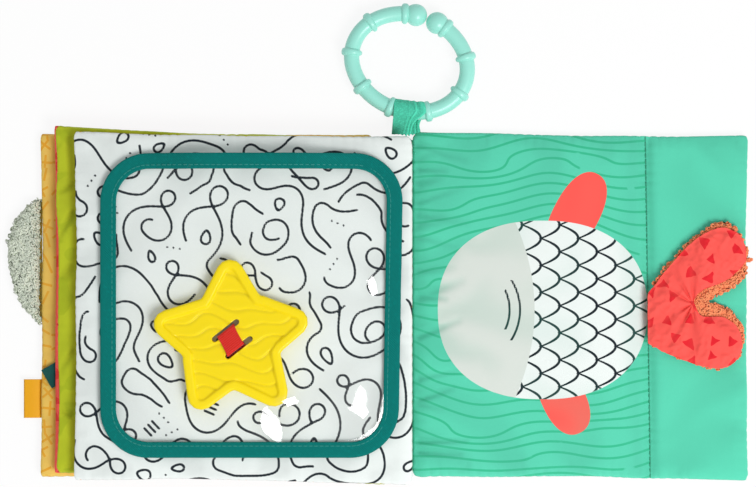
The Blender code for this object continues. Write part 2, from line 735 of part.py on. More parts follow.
def build_tail(collection):
    """Padded tail sewn into the panel seam: sherpa back on the page, printed front over its wadding."""
    coral = material("Coral cloth with triangles, tail", (0.98, 0.08, 0.07), 0.75)
    sherpa = material("Orange sherpa", (0.80, 0.16, 0.06), 1.0)
    filling = material("Wadding of tail", WADDING_COLOUR, 1.0)
    back, front = tail_outline(TAIL_BACK_SHARES), tail_outline(TAIL_FRONT_SHARES)

    def sherpa_height(side):
        def height(point):
            full = swell(distance_to(back, point), TAIL_SHERPA_THICKNESS)
            share = TAIL_RIM_SHARE + (1 - TAIL_RIM_SHARE) * full
            return TAIL_SEAT + TAIL_SHERPA_THICKNESS / 2 * (1 + side * share)

        return height

    flat = flat_mesh(back, pad_steps(TAIL_SHERPA_THICKNESS), TAIL_SHERPA_SPACING)
    upper, lower = raised(flat, sherpa_height(1)), raised(flat, sherpa_height(-1))
    pieces = [closed_pad("tail_back_sherpa", upper, lower, sherpa, collection)]

    floor = TAIL_SEAT + TAIL_SHERPA_THICKNESS + CLEARANCE

    def dome(point):
        full = swell(distance_to(front, point), TAIL_ROUNDING)
        return floor + TAIL_CROWN_RIM + (TAIL_CROWN - TAIL_CROWN_RIM) * full

    bm = raised(flat_mesh(front, pad_steps(TAIL_ROUNDING), TAIL_SPACING), dome)
    facing(bm, 2)
    pieces.append(open_sheet("tail_front_cloth", bm, CLOTH_THICKNESS, coral, collection))
    core = inset(front, TAIL_WADDING_INSET)
    flat = flat_mesh(core, pad_steps(TAIL_ROUNDING), TAIL_WADDING_SPACING)
    upper = raised(flat, lambda point: dome(point) - WADDING_DEPTH_BELOW_CLOTH)
    lower = raised(flat, lambda point: floor)
    pieces.append(closed_pad("tail_wadding", upper, lower, filling, collection))
    hinge = (PANEL_SEAM_X, TAIL_MIDDLE_Y, TAIL_SEAT + (TAIL_SHERPA_THICKNESS + TAIL_CROWN) / 2)
    on_axis("tail_hinge", hinge, pieces, collection)


# Spine: its cloth, the strips that sew the inner leaves to it, and the ribbon loop with the link ring


def hinge_cloth(name, leaf, lean, mat, collection):
    """Strip that stands from the spine cloth up to the seam in a leaf's spine edge."""
    foot = SPINE_CLOTH_THICKNESS + CLEARANCE
    head = leaf_base(leaf) + LEAF_THICKNESS / 2 - CLEARANCE
    head_x = leaf.side * leaf.set_out + CLEARANCE + HINGE_CLOTH_THICKNESS

    def place(across, up):
        x = head_x - lean * (1 - smooth_step(up))
        return x, leaf.shift + SPINE_LENGTH * (across - 0.5), foot + (head - foot) * up

    rows = [i / HINGE_CLOTH_ROWS for i in range(HINGE_CLOTH_ROWS + 1)]
    bm = grid([0.0, 1.0], rows, place)
    facing(bm, 0)
    return open_sheet(name, bm, HINGE_CLOTH_THICKNESS, mat, collection)


def teardrop(centre, radius, apex, steps):
    """Outline round a circle, closed by two straight runs to a point."""
    toward = Vector(apex) - Vector(centre)
    middle = math.atan2(toward.y, toward.x)
    spread = math.acos(radius / toward.length)
    points = [Vector(apex)]
    for i in range(steps + 1):
        angle = middle + spread + 2 * (math.pi - spread) * i / steps
        points.append(Vector(centre) + radius * Vector((math.cos(angle), math.sin(angle))))
    return points


def build_ring_loop(mat, collection):
    """Ribbon folded round the ring and sewn into the head of the spine: drawn from the side, then stood up."""
    eye, apex = Vector((LOOP_EYE_Y, LOOP_EYE_HEIGHT)), Vector((LOOP_ROOT_Y, LOOP_ROOT_Z))
    toward = eye - apex
    inner_apex = apex + toward.normalized() * LOOP_THICKNESS * toward.length / LOOP_EYE_HEIGHT
    outer = teardrop(eye, LOOP_EYE_HEIGHT, apex, LOOP_STEPS)
    inner = teardrop(eye, LOOP_EYE_RADIUS, inner_apex, LOOP_STEPS)
    loop = plate("ring_ribbon_loop", [outer, inner], LOOP_WIDTH, 0, mat, collection)

    def stand(point):
        share = min(1.0, (point.x - LOOP_ROOT_Y) / (LOOP_EYE_Y - LOOP_ROOT_Y))
        width = LOOP_ROOT_WIDTH + (LOOP_WIDTH - LOOP_ROOT_WIDTH) * share
        middle = LOOP_ROOT_X + (LOOP_MIDDLE_X - LOOP_ROOT_X) * share
        return middle + point.z * width / LOOP_WIDTH, point.x, point.y

    reshape(loop, stand)


def build_spine(collection):
    turquoise = material("Turquoise cloth, spine", (0.10, 0.62, 0.45), 0.85)
    coral = material("Coral cloth, hinge", (0.85, 0.10, 0.08), 0.85)
    white = material("White cloth, hinge", (0.75, 0.81, 0.79), 0.85)
    ribbon = material("Turquoise ribbon", (0.06, 0.58, 0.37), 0.6)
    left = -FRONT_COVER_SET_BACK - SPINE_CLOTH_TUCK
    right = BACK_COVER_SET_OFF + SPINE_CLOTH_TUCK
    low = (left, -SPINE_LENGTH / 2, 0)
    high = (right, SPINE_LENGTH / 2, SPINE_CLOTH_THICKNESS)
    box("spine_cloth", low, high, turquoise, collection)
    strips = [
        hinge_cloth("leaf_2_hinge_cloth", LEAF_2, 0, coral, collection),
        hinge_cloth("leaf_3_hinge_cloth", LEAF_3, HINGE_CLOTH_LEAN, white, collection),
    ]
    build_ring_loop(ribbon, collection)
    return strips


def ring_centre_y():
    """The ring hangs in the loop's eye: how far its oval centre line reaches down sets its middle."""
    tilt = math.radians(RING_TILT)
    reach = 1 / math.hypot(math.sin(tilt) / RING_LONG_RADIUS, math.cos(tilt) / RING_SHORT_RADIUS)
    return LOOP_EYE_Y - RING_HANG + reach


def ring_point(angle):
    """Place on the ring's oval centre line, at an angle in degrees."""
    turn, tilt = math.radians(angle), math.radians(RING_TILT)
    along_oval = RING_LONG_RADIUS * math.cos(turn)
    across_oval = RING_SHORT_RADIUS * math.sin(turn)
    x = RING_CENTRE_X + along_oval * math.cos(tilt) - across_oval * math.sin(tilt)
    y = ring_centre_y() + along_oval * math.sin(tilt) + across_oval * math.cos(tilt)
    return Vector((x, y))


def ring_degrees(angle, run):
    """Degrees of the oval that a short run takes up there."""
    return run / (ring_point(angle + 0.5) - ring_point(angle - 0.5)).length


def ring_stations():
    """(place, radius) along the ring from one ball end to the other."""
    stations = []

    def ball(angle, inwards):
        ahead = (ring_point(angle + inwards) - ring_point(angle)).normalized()
        rows = []
        for turn in RING_BALL_ANGLES:
            run = -RING_BALL_RADIUS * math.cos(math.radians(turn))
            bend = max(0.0, run)
            place = ring_point(angle + inwards * ring_degrees(angle, bend))
            place += ahead * min(0.0, run)
            rows.append((place, RING_BALL_RADIUS * math.sin(math.radians(turn))))
        return rows

    stations += ball(RING_FIRST_BALL_ANGLE, -1)
    rise = RING_COLLAR_RADIUS - RING_TUBE_RADIUS
    stops = [RING_FIRST_BALL_ANGLE, *RING_COLLAR_ANGLES, RING_LAST_BALL_ANGLE]
    for i, angle in enumerate(stops[:-1]):
        if i:
            half = ring_degrees(angle, RING_COLLAR_WIDTH / 2)
            for share, lift in RING_COLLAR_SHARES:
                stations.append((ring_point(angle - share * half), RING_TUBE_RADIUS + lift * rise))
        if 0 < i < len(stops) - 2:
            for k in range(1, RING_STEPS_BETWEEN_COLLARS + 1):
                share = k / (RING_STEPS_BETWEEN_COLLARS + 1)
                stations.append((ring_point(angle + (stops[i + 1] - angle) * share), RING_TUBE_RADIUS))
    return stations + ball(RING_LAST_BALL_ANGLE, 1)[::-1]


def build_ring(collection):
    """Open oval link ring: a tube with collars and a ball at each end."""
    plastic = material("Mint plastic", (0.38, 0.86, 0.73), 0.25)
    curve = bpy.data.curves.new("link_ring", "CURVE")
    curve.dimensions = "3D"
    curve.bevel_depth = RING_TUBE_RADIUS
    curve.bevel_resolution = 3
    curve.use_fill_caps = True
    stations = ring_stations()
    spline = curve.splines.new("POLY")
    spline.points.add(len(stations) - 1)
    for spot, (place, radius) in zip(spline.points, stations):
        spot.co = (place.x, place.y, LOOP_EYE_HEIGHT, 1)
        spot.radius = radius / RING_TUBE_RADIUS
    ring = bpy.data.objects.new("link_ring", curve)
    collection.objects.link(ring)
    ring = meshed(ring, plastic, collection)
    eye = (LOOP_MIDDLE_X, LOOP_EYE_Y, LOOP_EYE_HEIGHT)
    on_axis("ring_pivot", eye, [ring], collection)


# Clear pocket on page 6


def window_place(x, y):
    """The window's right side leans in towards the bottom."""
    right = (x - WINDOW_X) / WINDOW_WIDTH + 0.5
    down = 0.5 - (y - WINDOW_Y) / WINDOW_HEIGHT
    return x - WINDOW_TAPER * right * down, y


def film_lift(x, y):
    """How far the pocket bulges over the star: closed down at the sides and the bottom, open at the top."""
    rim = TAPE_WIDTH / 2
    side = WINDOW_WIDTH / 2 - rim - abs(x - WINDOW_X)
    bottom = y - WINDOW_Y + WINDOW_HEIGHT / 2 - rim
    mouth = smooth_step(1 - (WINDOW_HEIGHT / 2 - (y - WINDOW_Y)) / MOUTH_GAPE_RUN)
    side -= MOUTH_PINCH * mouth
    rise = smooth_step(side / FILM_RISE_RUN) * smooth_step(bottom / FILM_RISE_RUN)
    return rise * (FILM_RISE + MOUTH_GAPE * mouth)


def pocket_height(x, y):
    return page_height(LEAF_3, x, y) + CLEARANCE + film_lift(x, y)


def window_line():
    """The binding's centre line: a rectangle with round corners, counterclockwise."""
    half_x, half_y = WINDOW_WIDTH / 2, WINDOW_HEIGHT / 2
    line = []
    for quarter, (right, up) in enumerate(((1, 1), (-1, 1), (-1, -1), (1, -1))):
        centre = Vector((right * (half_x - WINDOW_CORNER), up * (half_y - WINDOW_CORNER)))
        for i in range(CORNER_STEPS + 1):
            angle = math.pi / 2 * (quarter + i / CORNER_STEPS)
            line.append(centre + WINDOW_CORNER * Vector((math.cos(angle), math.sin(angle))))
        after = line[-1]
        next_right, next_up = ((-1, 1), (-1, -1), (1, -1), (1, 1))[quarter]
        turn = math.pi / 2 * (quarter + 1)
        corner = Vector((next_right * (half_x - WINDOW_CORNER), next_up * (half_y - WINDOW_CORNER)))
        end = corner + WINDOW_CORNER * Vector((math.cos(turn), math.sin(turn)))
        line += [after.lerp(end, i / SIDE_STEPS) for i in range(1, SIDE_STEPS)]
    return [Vector(window_place(WINDOW_X + p.x, WINDOW_Y + p.y)) for p in line]


def tape_profile():
    """Bias tape folded round the film's edge: a C that opens towards the window."""
    half, tall = TAPE_WIDTH / 2, 2 * (TAPE_LEG + FILM_IN_TAPE) + FILM_THICKNESS
    web, leg = half - TAPE_WEB, TAPE_LEG
    return [
        (-half, 0), (half, 0), (half, tall), (-half, tall),
        (-half, tall - leg), (web, tall - leg), (web, leg), (-half, leg),
    ]  # fmt: skip


def build_window(collection):
    film_look = material("Clear film", (0.95, 0.97, 0.96), 0.08, alpha=0.25)
    tape_look = material("Teal bias tape", (0.0, 0.22, 0.19), 0.8)

    line = window_line()
    in_tape = FILM_LAP + TAPE_WIDTH / 2
    steps = [in_tape] + [in_tape + ring for ring in FILM_RINGS]

    def height(point):
        """Inside the tape the film takes the height of the tape's nearest station."""
        if distance_to(line, point) < TAPE_WIDTH / 2 + CLEARANCE:
            point = min(line, key=lambda station: (station - point).length)
        return pocket_height(point.x, point.y) + TAPE_LEG + FILM_IN_TAPE + FILM_THICKNESS

    bm = raised(flat_mesh(inset(line, -FILM_LAP), steps, FILM_SPACING), height)
    facing(bm, 2)
    film = open_sheet("window_film", bm, FILM_THICKNESS, film_look, collection)

    section = bpy.data.curves.new("tape_section", "CURVE")
    section.dimensions = "2D"
    spline = section.splines.new("POLY")
    profile = tape_profile()
    spline.points.add(len(profile) - 1)
    for spot, (x, z) in zip(spline.points, profile):
        spot.co = (x, z, 0, 1)
    spline.use_cyclic_u = True
    guide = bpy.data.objects.new("tape_section", section)
    collection.objects.link(guide)

    curve = bpy.data.curves.new("window_binding", "CURVE")
    curve.dimensions = "3D"
    curve.twist_mode = "Z_UP"
    curve.bevel_mode = "OBJECT"
    curve.bevel_object = guide
    spline = curve.splines.new("POLY")
    spline.points.add(len(line) - 1)
    for spot, point in zip(spline.points, line):
        spot.co = (point.x, point.y, pocket_height(point.x, point.y), 1)
    spline.use_cyclic_u = True
    tape = bpy.data.objects.new("window_binding", curve)
    collection.objects.link(tape)
    tape = meshed(tape, tape_look, collection)
    bpy.data.objects.remove(guide)
    return [film, tape]


# Star teether, its ribbon and its tether


def star_polar(radius, angle):
    return radius * Vector((math.cos(math.radians(angle)), math.sin(math.radians(angle))))


def star_outline(rim=0.0):
    """Rounded tips and filleted notches, all moved in by the rim."""
    outline = []
    rounding = STAR_TIP_ROUNDING
    for i in range(5):
        tip, reach = STAR_TIP_ANGLES[i], STAR_TIP_RADIUS * STAR_TIP_SHARES[i]
        centre = star_polar(reach - rounding, tip)
        for k in range(STAR_TIP_STEPS + 1):
            turn = STAR_TIP_SPREAD * (1 - 2 * k / STAR_TIP_STEPS)
            outline.append(centre + star_polar(rounding, tip + turn))
        notch, reach = STAR_NOTCH_ANGLES[i], STAR_NOTCH_RADIUS * STAR_NOTCH_SHARES[i]
        centre = star_polar(reach + STAR_NOTCH_ROUNDING, notch)
        for k in range(STAR_NOTCH_STEPS + 1):
            turn = 180 - STAR_NOTCH_SPREAD * (1 - 2 * k / STAR_NOTCH_STEPS)
            outline.append(centre + star_polar(STAR_NOTCH_ROUNDING, notch + turn))
    return inset(outline, rim) if rim else outline


def capsule(length, width, steps):
    """Slot outline with round ends, along X."""
    run = (length - width) / 2
    points = []
    for side in (1, -1):
        for i in range(steps + 1):
            turn = -90 + 180 * i / steps
            points.append(side * (Vector((run, 0)) + star_polar(width / 2, turn)))
    return points


def build_star(collection, cutters):
    """Moulded star with a raised rim and two slots, and the ribbon looped through them."""
    yellow = material("Yellow plastic", (1.0, 0.73, 0.0), 0.3)
    red = material("Red grosgrain ribbon", (0.72, 0.05, 0.03), 0.7)
    tether_look = material("Red tether ribbon", (0.68, 0.05, 0.03), 0.7)
    star = plate("star_teether", [star_outline()], STAR_THICKNESS, STAR_BOTTOM, yellow, collection)
    whole_caps(star)
    star.location += Vector((STAR_X, STAR_Y, 0))
    rounding = star.modifiers.new("Rounded edges", "BEVEL")
    rounding.width = STAR_EDGE_BEVEL
    rounding.segments = 2
    rounding.limit_method = "ANGLE"
    rounding.angle_limit = math.radians(60)
    floor = STAR_BOTTOM + STAR_THICKNESS - STAR_RECESS
    recess = plate(
        "star_recess_cutter", [star_outline(STAR_RIM_WIDTH)], CUTTER_REACH, floor, None, cutters
    )
    recess.location += Vector((STAR_X, STAR_Y, 0))
    cut(star, recess)

    slots = Vector((STAR_X + SLOTS_OFF_CENTRE_X, STAR_Y + SLOTS_OFF_CENTRE_Y))
    across = star_polar(1, SLOT_ANGLE - 90)
    lengthwise = star_polar(1, SLOT_ANGLE)
    for i, side in enumerate((-1, 1)):
        cutter = plate(
            f"star_slot_cutter_{i + 1}",
            [capsule(SLOT_LENGTH, SLOT_WIDTH, 6)],
            STAR_THICKNESS + CUTTER_REACH,
            STAR_BOTTOM - CUTTER_REACH / 2,
            None,
            cutters,
        )
        place = slots + across * side * SLOT_SPACING / 2
        cutter.location.x, cutter.location.y = place
        cutter.rotation_euler.z = math.radians(SLOT_ANGLE)
        cut(star, cutter)

    behind = STAR_BOTTOM - CLEARANCE - RIBBON_THICKNESS
    before = floor + CLEARANCE + RIBBON_THICKNESS
    half = (SLOT_SPACING + RIBBON_THICKNESS) / 2
    outer = round_box(half, behind, before, RIBBON_CORNER)
    inner = round_box(
        half - RIBBON_THICKNESS,
        behind + RIBBON_THICKNESS,
        before - RIBBON_THICKNESS,
        RIBBON_CORNER - RIBBON_THICKNESS,
    )
    ribbon = plate("star_ribbon", [outer, inner], RIBBON_WIDTH, -RIBBON_WIDTH / 2, red, collection)

    def lay(point, height):
        skew = RIBBON_SKEW * min(1.0, 0.5 + point.x / SLOT_SPACING)
        place = slots + across * point.x + lengthwise * (height - skew)
        return place.x, place.y

    # Turned over as it is stood up, so that its faces still look outwards.
    reshape(ribbon, lambda point: (*lay(point, -point.z), point.y))

    start = half + CLEARANCE
    low = (start, -RIBBON_WIDTH / 2, behind)
    high = (start + TETHER_LENGTH, RIBBON_WIDTH / 2, behind + RIBBON_THICKNESS)
    tether = box("star_tether", low, high, tether_look, collection)
    middle = (Vector(low) + Vector(high)) / 2
    place = slots + across * middle.x - lengthwise * RIBBON_SKEW
    tether.location = (place.x, place.y, middle.z)
    tether.rotation_euler.z = math.radians(SLOT_ANGLE - 90)
    return star, ribbon, tether


def round_box(half, low, high, corner):
    """Rectangle outline with cut corners, from -half to half across and from low to high."""
    return [
        (-half + corner, low), (half - corner, low), (half, low + corner), (half, high - corner),
        (half - corner, high), (-half + corner, high), (-half, high - corner), (-half, low + corner),
    ]  # fmt: skip


# Front cover's flap and tabs


def build_flap(collection):
    sherpa_look = material("Grey-green sherpa", (0.55, 0.62, 0.55), 1.0)
    backing_look = material("Flap backing", (0.82, 0.62, 0.22), 0.85)
    line = through(
        shaped(FLAP_SHARES, (FLAP_ROOT_X, FLAP_MIDDLE_Y), -FLAP_DEPTH, FLAP_CHORD),
        FLAP_OUTLINE_STEPS,
    )
    outline = closed_by_line(line, FLAP_ROOT_PIECES)
    seat = FLAP_BACKING_THICKNESS + CLEARANCE

    def height(point):
        full = swell(distance_to(outline, point), FLAP_ROUNDING)
        return seat + FLAP_SHERPA_THICKNESS * (FLAP_RIM_SHARE + (1 - FLAP_RIM_SHARE) * full)

    flat = flat_mesh(outline, pad_steps(FLAP_ROUNDING), FLAP_SPACING)
    upper, lower = raised(flat, height), raised(flat, lambda point: seat)
    sherpa = closed_pad("plush_flap_sherpa", upper, lower, sherpa_look, collection)
    root = FLAP_ROOT_X + FLAP_TUCK + FLAP_BACKING_INSET
    under = line + [Vector((root, line[-1].y)), Vector((root, line[0].y))]
    backing = plate(
        "plush_flap_backing",
        [inset(under, FLAP_BACKING_INSET)],
        FLAP_BACKING_THICKNESS,
        0,
        backing_look,
        collection,
    )
    hinge = (FORE_EDGE_X - FLAP_STAND_OFF / 2, FLAP_MIDDLE_Y, LEAF_THICKNESS + CLEARANCE)
    return on_axis("flap_hinge", hinge, [sherpa, backing], collection)


def build_tabs(collection):
    orange = material("Orange label", (0.92, 0.38, 0.01), 0.7)
    teal = material("Dark teal grosgrain", (0.003, 0.10, 0.09), 0.75)
    middle = LEAF_THICKNESS / 2
    root = FORE_EDGE_X + LABEL_TUCK
    low = (root - LABEL_LENGTH, LABEL_Y - LABEL_HEIGHT / 2, middle - LABEL_THICKNESS / 2)
    high = (root, LABEL_Y + LABEL_HEIGHT / 2, middle + LABEL_THICKNESS / 2)
    label = box("label_tab", low, high, orange, collection)

    end = Vector((FORE_EDGE_X + TEAL_TAB_SET_IN, TEAL_TAB_END_Y))
    inner_x = -LEAF_2_SET_BACK - PAGE_WIDTH + TEAL_TAB_TUCK
    run, side = star_polar(1, TEAL_TAB_ANGLE), star_polar(1, TEAL_TAB_ANGLE + 90)

    def place(across, share):
        corner = end + side * TEAL_TAB_WIDTH * (across - 0.5)
        point = corner + run * share * (inner_x - corner.x) / run.x
        height = page_height(FRONT_COVER, point.x, point.y)
        return point.x, point.y, height + 2 * CLEARANCE + TEAL_TAB_THICKNESS

    steps = [i / 4 for i in range(5)]
    bm = grid(steps, steps, place)
    facing(bm, 2)
    tab = open_sheet("teal_ribbon_tab", bm, TEAL_TAB_THICKNESS, teal, collection)
    return [label, tab]


def main():
    clear_scene()
    book = new_collection("soft_book")
    cutters = new_collection("cutters", hidden=True)

    build_back_cover(book)
    build_tail(book)
    leaf_2_strip, leaf_3_strip = build_spine(book)
    build_ring(book)

    white = material("White cloth, line print", (0.75, 0.82, 0.79), 0.8)
    orange = material("Orange cloth", (0.82, 0.26, 0.06), 0.85)
    lime = material("Lime cloth", (0.48, 0.58, 0.03), 0.8)
    coral = material("Coral cloth with triangles", (0.98, 0.08, 0.07), 0.8)
    yellow = material("Yellow cloth", (0.83, 0.63, 0.13), 0.8)
    outer = material("Front cover cloth", (0.75, 0.80, 0.75), 0.85)

    names = ("leaf_3_front_cloth", "leaf_3_back_cloth", "leaf_3_wadding")
    leaf_3 = build_leaf(LEAF_3, names, (white, orange), book)
    leaf_3 += build_window(book)
    star, ribbon, tether = build_star(book, cutters)
    names = ("leaf_2_front_cloth", "leaf_2_back_cloth", "leaf_2_wadding")
    leaf_2 = build_leaf(LEAF_2, names, (lime, coral), book)
    names = ("front_cover_inner_cloth", "front_cover_outer_cloth", "front_cover_wadding")
    front_cover = build_leaf(FRONT_COVER, names, (yellow, outer), book)
    front_cover += build_tabs(book)
    flap = build_flap(book)

    # Each leaf carries the ones above it; its axis lies midway between its spine edge, open and turned over.
    slide = on_axis("star_slide", (STAR_X, STAR_Y, STAR_BOTTOM), [star, ribbon], book)
    x = (BACK_COVER_SET_OFF + LEAF_3_OVERHANG) / 2
    turn_3 = on_axis("leaf_3_hinge", (x, 0, TURN_HEIGHT), [*leaf_3, tether, slide], book)
    x = (BACK_COVER_SET_OFF - LEAF_2_SET_BACK) / 2
    turn_2 = on_axis("leaf_2_hinge", (x, 0, TURN_HEIGHT), [*leaf_2, leaf_3_strip, turn_3], book)
    x = (BACK_COVER_SET_OFF - FRONT_COVER_SET_BACK) / 2
    turned = [*front_cover, leaf_2_strip, flap, turn_2]
    on_axis("front_cover_hinge", (x, 0, TURN_HEIGHT), turned, book)


main()
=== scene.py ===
# %% [markdown]
# # Dressing a soft cloth book
# The CAD model of the book already has every piece in its place: four padded leaves on a spine, a clear pocket
# with a star teether in it, a stuffed tail, a link ring on a ribbon. This lesson gives each of them its real
# surface: sewn and puckered cloth, printed patterns, fleece, grosgrain ribbon, clear film and moulded plastic.
# It starts with the frame, which holds the CAD model still, so that each new piece can be measured from it.

import math
import random

import bmesh
import bpy
import numpy as np
from mathutils import Matrix, Vector, noise
from mathutils.bvhtree import BVHTree
from mathutils.kdtree import KDTree


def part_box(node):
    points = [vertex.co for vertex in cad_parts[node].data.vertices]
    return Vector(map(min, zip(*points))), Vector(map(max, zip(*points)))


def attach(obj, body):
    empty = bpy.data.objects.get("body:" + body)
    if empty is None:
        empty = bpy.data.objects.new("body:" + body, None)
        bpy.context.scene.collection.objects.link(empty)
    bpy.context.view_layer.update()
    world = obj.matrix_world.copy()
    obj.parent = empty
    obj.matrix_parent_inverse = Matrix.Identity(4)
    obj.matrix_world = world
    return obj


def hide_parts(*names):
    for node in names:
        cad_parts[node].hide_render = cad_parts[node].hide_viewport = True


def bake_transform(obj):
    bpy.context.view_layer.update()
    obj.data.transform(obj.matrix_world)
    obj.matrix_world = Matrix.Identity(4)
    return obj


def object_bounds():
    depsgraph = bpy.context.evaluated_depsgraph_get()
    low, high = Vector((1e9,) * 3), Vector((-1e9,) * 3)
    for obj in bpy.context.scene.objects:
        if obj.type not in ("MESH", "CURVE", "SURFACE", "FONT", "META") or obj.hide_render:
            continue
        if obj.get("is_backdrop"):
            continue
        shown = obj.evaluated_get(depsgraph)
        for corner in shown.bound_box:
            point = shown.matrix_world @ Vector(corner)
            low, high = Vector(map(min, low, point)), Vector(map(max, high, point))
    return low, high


MM = 0.001
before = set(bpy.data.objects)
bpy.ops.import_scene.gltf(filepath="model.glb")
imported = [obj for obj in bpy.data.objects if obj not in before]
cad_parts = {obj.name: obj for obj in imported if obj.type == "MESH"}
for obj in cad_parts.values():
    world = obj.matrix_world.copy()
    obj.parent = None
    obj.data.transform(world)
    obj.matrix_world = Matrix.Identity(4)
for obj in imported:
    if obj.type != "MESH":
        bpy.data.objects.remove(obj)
cad_low, cad_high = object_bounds()
print("CAD box in mm:", [round(side / MM, 1) for side in cad_high - cad_low])

# %% [markdown]
# ## Numbers as signals
# A material's detail comes from arithmetic on nodes: a weave is the product of two sines, a printed line is a
# distance that is small. Wired by hand, such sums fill a screen. Here a small class wraps a node's output and
# takes over Python's operators, so that a sum is written as a sum, and each operator adds its own Math node.


# %% A number that a material works out at each point
class Signal:
    def __init__(self, look, socket):
        self.look, self.socket = look, socket

    def __add__(self, other):
        return self.look.maths("ADD", self, other)

    def __sub__(self, other):
        return self.look.maths("SUBTRACT", self, other)

    def __rsub__(self, other):
        return self.look.maths("SUBTRACT", other, self)

    def __mul__(self, other):
        return self.look.maths("MULTIPLY", self, other)

    __radd__, __rmul__ = __add__, __mul__

    def sine(self):
        return self.look.maths("SINE", self)

    def above(self, level, soft):
        """0 below the level, 1 above it, with a soft edge."""
        ends = {"Value": self, "From Min": level - soft, "From Max": level + soft}
        made = self.look.node("ShaderNodeMapRange", {"interpolation_type": "SMOOTHSTEP"}, ends)
        return Signal(self.look, made.outputs["Result"])

    def below(self, level, soft):
        return 1 - self.above(level, soft)


# %% [markdown]
# ## A look: one material and how it is painted
# Real cloth is dyed first, printed next, and then it wears. A look follows the same order. It starts with a base
# colour, `paint` lays another colour over it where a mask is 1, and `relief` adds height for the bump. The
# pattern is read from object coordinates, which are the real metres of the book, so a thread is as fine on a
# small tab as it is on a page.


# %% Colours and looks
def srgb(red, green, blue):
    """A colour as a picture shows it, 0 to 255, in the linear numbers that shaders use."""
    parts = [value / 255 for value in (red, green, blue)]
    return (*[p / 12.92 if p <= 0.04045 else ((p + 0.055) / 1.055) ** 2.4 for p in parts], 1.0)


class Look:
    def __init__(self, name, colour, roughness, **constants):
        self.material = bpy.data.materials.new(name)
        self.material.use_nodes = True
        self.tree = self.material.node_tree
        self.shader = self.tree.nodes["Principled BSDF"]
        self.colour, self.height, self.rough = colour, None, roughness
        for socket, value in constants.items():
            self.shader.inputs[socket.replace("_", " ")].default_value = value
        place = self.node("ShaderNodeTexCoord").outputs["Object"]
        apart = self.node("ShaderNodeSeparateXYZ", sockets={"Vector": place})
        self.x, self.y, self.z = (Signal(self, apart.outputs[axis]) for axis in "XYZ")
        self.place = place

    def node(self, kind, settings=None, sockets=None):
        """A node of this type: its settings first, then the values or links of its sockets."""
        made = self.tree.nodes.new(kind)
        for name, value in (settings or {}).items():
            setattr(made, name, value)
        for name, value in (sockets or {}).items():
            self.plug(made.inputs[name], value)
        return made

    def plug(self, socket, value):
        value = value.socket if isinstance(value, Signal) else value
        if isinstance(value, bpy.types.NodeSocket):
            self.tree.links.new(value, socket)
        else:
            socket.default_value = value

    def maths(self, operation, *values):
        made = self.node("ShaderNodeMath", {"operation": operation}, dict(enumerate(values)))
        return Signal(self, made.outputs["Value"])

    def stored(self, name):
        """A value that the mesh holds at each vertex."""
        return Signal(self, self.node("ShaderNodeAttribute", {"attribute_name": name}).outputs["Fac"])

    def cloudy(self, size, detail=2.0):
        """Soft noise from 0 to 1, whose blots are about this many metres across."""
        sockets = {"Vector": self.place, "Scale": 1 / size, "Detail": detail}
        return Signal(self, self.node("ShaderNodeTexNoise", sockets=sockets).outputs["Fac"])

    def paint(self, mask, colour):
        made = self.node("ShaderNodeMix", {"data_type": "RGBA"}, {0: mask, 6: self.colour, 7: colour})
        self.colour = made.outputs[2]

    def relief(self, height):
        self.height = height if self.height is None else self.height + height

    def mixed(self, share, first, second):
        """Shows a mix of two surfaces, from 0 for the first to 1 for the second."""
        made = self.node("ShaderNodeMixShader", sockets={0: share, 1: first, 2: second})
        self.plug(self.tree.nodes["Material Output"].inputs["Surface"], made.outputs["Shader"])

    def done(self):
        self.plug(self.shader.inputs["Base Color"], self.colour)
        self.plug(self.shader.inputs["Roughness"], self.rough)
        if self.height is not None:
            bump = self.node("ShaderNodeBump", sockets={"Height": self.height, "Distance": 1.0})
            self.plug(self.shader.inputs["Normal"], bump.outputs["Normal"])
        return self.material


def tinted(colour, share):
    """The colour made darker, below 1, or lighter, above 1."""
    return (*[min(1.0, part * share) for part in colour[:3]], 1.0)


# %% [markdown]
# ## Woven cloth
# The pages are a fine, smooth polyester weave. From above it only takes the shine off, but from near by one
# sees threads crossing. The product of two sines is a checkerboard of soft bumps, just as a plain weave is. Dye
# is never quite even either, so slow noise moves the colour by a few percent. The valleys between puckers, which
# the mesh marks as `pucker`, get painted shade: their colour is darker the deeper they have sunk.

# %% Cloth
THREAD = 0.34 * MM
THREAD_DEPTH = 0.03 * MM
CLOTH_ROUGHNESS = 0.78
FULL_TURN = 2 * math.pi


def weave(look):
    across = (look.x * (FULL_TURN / THREAD / 2)).sine() * (look.y * (FULL_TURN / THREAD / 2)).sine()
    slub = look.cloudy(2.2 * MM, 4.0)
    look.relief(across * THREAD_DEPTH + slub * (THREAD_DEPTH * 1.6))


def cloth(name, colour):
    look = Look(name, colour, CLOTH_ROUGHNESS, Sheen_Weight=0.05, Specular_IOR_Level=0.18)
    look.paint(look.cloudy(38 * MM) * 0.22, tinted(colour, 0.86))
    look.paint(look.cloudy(0.9 * MM, 5.0).above(0.62, 0.08) * 0.16, tinted(colour, 1.14))
    weave(look)
    return look


def painted_shade_and_wear(look, colour):
    """Painted shade in the puckers, and a rubbed, paler line of wear along the seam."""
    # painted shade: the colour darkens where the cloth has sunk into a pucker
    look.paint(look.stored("pucker") * 0.42, tinted(colour, 0.62))
    rubbed = look.stored("edge_mm").below(1.1, 0.9) * look.cloudy(5 * MM, 3.0)
    look.paint(rubbed * 0.35, tinted(colour, 1.25))


# %% [markdown]
# ## The shape of a padded leaf
# Each page is two cloths sewn face to face, turned the right way out and filled with thin wadding. So it is a
# rectangle whose sides pull in between the corners, thin at the seam and full in the middle. Its size, its
# thickness and how far it lies off square are measured on its CAD cloth. The rest is one formula for the upper
# and the lower surface, in u across the page and v up it, both from -1 to 1.

